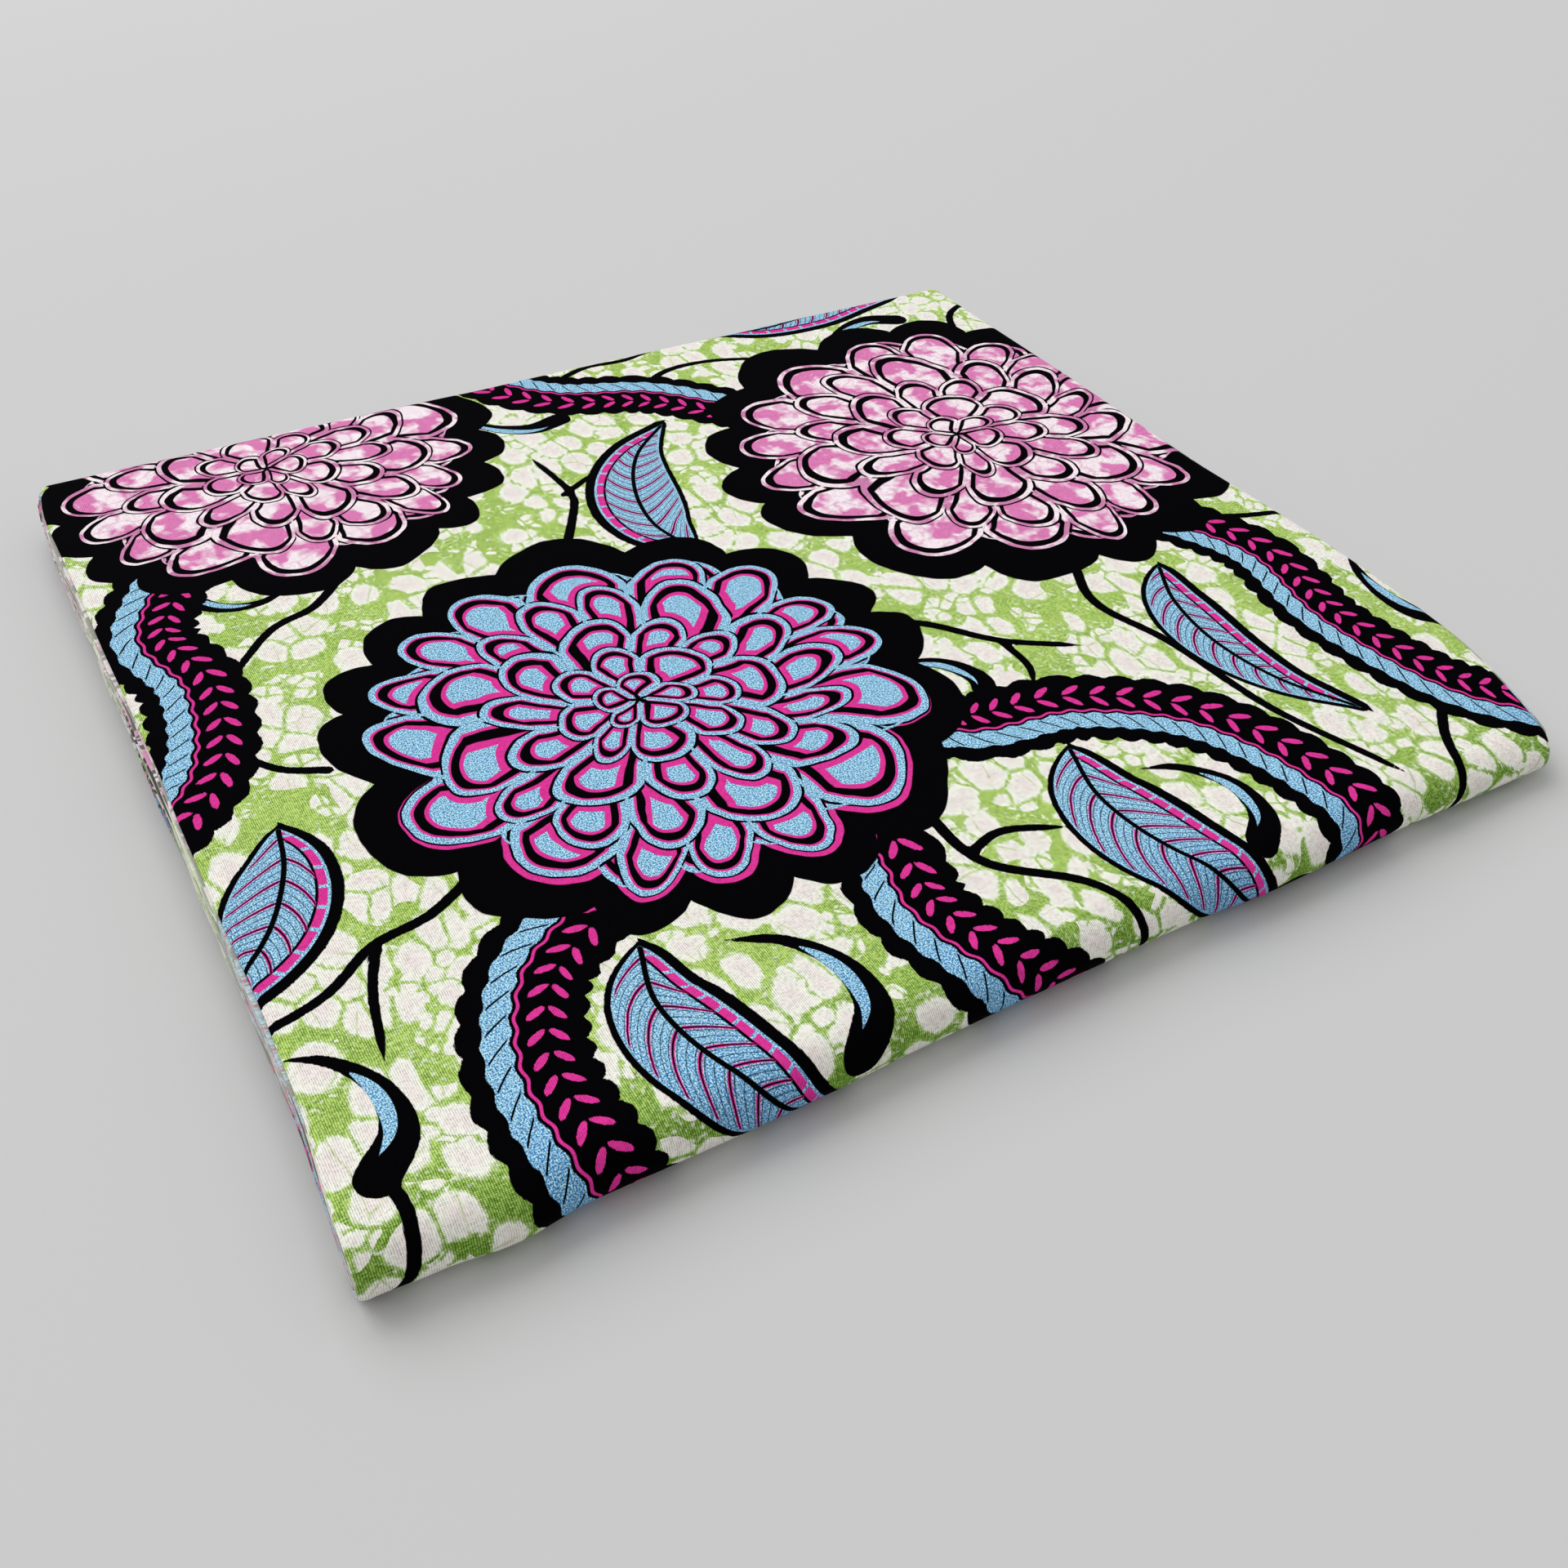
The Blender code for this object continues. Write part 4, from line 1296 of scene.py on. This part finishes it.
class ClothSettings(bpy.types.PropertyGroup):
    """Sizes and inks of the printed cotton."""

    across_pitch: length_setting(
        "Pitch across", "Distance between the threads that run up the cloth", 0.00047, least=0.0001
    )
    up_pitch: length_setting(
        "Pitch up", "Distance between the threads that run across the cloth", 0.000373, least=0.0001
    )
    mesh_step: length_setting(
        "Mesh step", "Distance between points on the cloth that shows", 0.00116, least=0.0008
    )
    under_step: length_setting(
        "Underside step", "Distance between points on the underside", 0.0018, least=0.0008
    )
    black: colour_setting("Black", "Outlines, bands and halos", (3, 2, 4))
    magenta: colour_setting("Magenta", "Leaflets, rims and petals", (224, 57, 153))
    # Deep and light green carry painted shade too: deep green in the thread gaps and over the front fold,
    # light green on the thread crests
    green_deep: colour_setting("Deep green", "Gaps between the green threads", (92, 138, 40))
    green_light: colour_setting("Light green", "Crests of the green threads", (196, 224, 124))
    green_edge: colour_setting("Green edge", "Thin green round the wax bubbles", (196, 222, 142))
    cream: colour_setting("Cream", "Wax bubbles near their edges", (243, 245, 232))
    cream_warm: colour_setting("Warm cream", "Middles of the wax bubbles", (241, 232, 227))
    blue_deep: colour_setting("Deep blue", "Dark grains of the blue glitter", (58, 128, 192))
    blue_light: colour_setting("Light blue", "Light grains of the blue glitter", (196, 242, 252))
    pink: colour_setting("Pink", "Marbled petals", (223, 128, 184))
    pink_white: colour_setting("Pale pink", "Light marbling of petals", (250, 236, 242))
    pink_line: colour_setting("Petal line", "Line round the marbled petals", (206, 132, 176))


class StageSettings(bpy.types.PropertyGroup):
    """Floor and light."""

    floor_colour: colour_setting("Floor", "Plain pale floor", (208, 208, 208))
    floor_size: length_setting("Floor size", "Side of the square floor", 8.0)
    light_size: length_setting("Light size", "Side of the soft light overhead", 4.0)
    light_power: bpy.props.FloatProperty(
        name="Light power", description="Power of the light overhead, in watts", default=108.0, unit="POWER"
    )
    sky_strength: bpy.props.FloatProperty(
        name="Sky strength", description="Soft light from straight above", default=0.78
    )
    horizon_strength: bpy.props.FloatProperty(
        name="Horizon strength", description="Soft light from the sides", default=0.22
    )


def dress(thing, material, node):
    """Gives a piece its material, body and slot, and hides the solid that it stands for."""
    thing.data.materials.append(material)
    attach(thing, BODY)
    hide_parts(node)


class CLOTH_OT_outer(bpy.types.Operator):
    """Makes the cloth that shows: underside, front fold, top and upper back fold"""

    bl_idname = "cloth.outer"
    bl_label = "Make Outer Cloth"

    def execute(self, context):
        settings = context.scene.cloth_settings
        material = printed_cotton(settings)
        over = FRONT_RUN + TOP_RUN + BACK_RUN
        top_runs = np.linspace(0.0, over, round(over / settings.mesh_step) + 1)
        top = cloth_shell("cloth_top", top_runs, settings.mesh_step)
        under_runs = np.linspace(-UNDER_RUN, 0.0, round(UNDER_RUN / settings.under_step) + 1)
        underside = cloth_shell("cloth_underside", under_runs, settings.under_step)
        for thing, length in ((top, over), (underside, UNDER_RUN)):
            dress(thing, material, "outer_cloth")
        return {"FINISHED"}


class CLOTH_OT_layers(bpy.types.Operator):
    """Makes the hidden plies, whose ends show at the left, the right and the back"""

    bl_idname = "cloth.layers"
    bl_label = "Make Layered Plies"

    def execute(self, context):
        layers = make_layers()
        dress(layers, layered_cotton(context.scene.cloth_settings), "inner_layers")
        return {"FINISHED"}


class CLOTH_OT_stage(bpy.types.Operator):
    """Makes the floor, the light and the camera"""

    bl_idname = "cloth.stage"
    bl_label = "Make Stage"

    def execute(self, context):
        scene = context.scene
        settings = scene.stage_settings
        half = settings.floor_size / 2
        mesh = bpy.data.meshes.new("floor")
        square = ((-half, -half), (half, -half), (half, half), (-half, half))
        mesh.from_pydata([(x, y, FLOOR_HEIGHT) for x, y in square], [], [(0, 1, 2, 3)])
        material, shader = new_material("floor", 1.0, 0.0)
        shader.inputs["Base Color"].default_value = (*settings.floor_colour, 1.0)
        mesh.materials.append(material)
        floor = put("floor", mesh)

        lamp = bpy.data.lights.new("soft_light", "AREA")
        lamp.size = settings.light_size
        lamp.energy = settings.light_power
        light = put("soft_light", lamp)
        light.location = LIGHT_PLACE
        light.rotation_euler = (-light.location).to_track_quat("-Z", "Y").to_euler()

        world = bpy.data.worlds.new("studio")
        world.use_nodes = True
        tree = world.node_tree
        sky = tree.nodes["Background"]
        sky.inputs["Color"].default_value = (1.0, 1.0, 1.0, 1.0)
        height = parts(Field(tree.nodes.new("ShaderNodeTexCoord").outputs["Generated"]))[2]
        spread = settings.sky_strength - settings.horizon_strength
        strength = reckon("MULTIPLY_ADD", either(height, 0.0), spread, settings.horizon_strength)
        join(strength, sky.inputs["Strength"])
        scene.world = world

        lens = bpy.data.cameras.new("camera")
        lens.sensor_width = SENSOR_WIDTH
        lens.lens = FOCAL_PIXELS / PHOTO_SIDE * SENSOR_WIDTH
        lens.clip_start = 0.01
        right = Vector(CAMERA_RIGHT).normalized()
        forward = Vector(CAMERA_FORWARD).normalized()
        turn = Matrix((right, right.cross(forward).normalized(), -forward)).transposed()
        camera = put("camera", lens)
        camera.matrix_world = Matrix.Translation(CAMERA_PLACE) @ turn.to_4x4()
        scene.camera = camera
        scene.view_settings.view_transform = "Standard"
        return {"FINISHED"}


class CLOTH_PT_panel(bpy.types.Panel):
    """Lists the pieces and their settings"""

    bl_idname = "CLOTH_PT_panel"
    bl_label = "Folded Cloth"
    bl_space_type = "VIEW_3D"
    bl_region_type = "UI"
    bl_category = "Folded Cloth"

    def draw(self, context):
        for operator in (CLOTH_OT_outer, CLOTH_OT_layers, CLOTH_OT_stage):
            self.layout.operator(operator.bl_idname)
        for group in (context.scene.cloth_settings, context.scene.stage_settings):
            box = self.layout.box()
            for name in group.bl_rna.properties.keys():
                if name not in ("rna_type", "name"):
                    box.prop(group, name)


CLASSES = (ClothSettings, StageSettings, CLOTH_OT_outer, CLOTH_OT_layers, CLOTH_OT_stage, CLOTH_PT_panel)


def register():
    """Registers the classes and hangs their settings on the scene."""
    for one in CLASSES:
        bpy.utils.register_class(one)
    bpy.types.Scene.cloth_settings = bpy.props.PointerProperty(type=ClothSettings)
    bpy.types.Scene.stage_settings = bpy.props.PointerProperty(type=StageSettings)


def unregister():
    """Takes the settings and classes away again."""
    del bpy.types.Scene.stage_settings
    del bpy.types.Scene.cloth_settings
    for one in reversed(CLASSES):
        bpy.utils.unregister_class(one)


def main():
    """Registers the settings and makes every piece in order."""
    register()
    bpy.ops.cloth.stage()
    bpy.ops.cloth.outer()
    bpy.ops.cloth.layers()


if __name__ == "__main__":
    main()
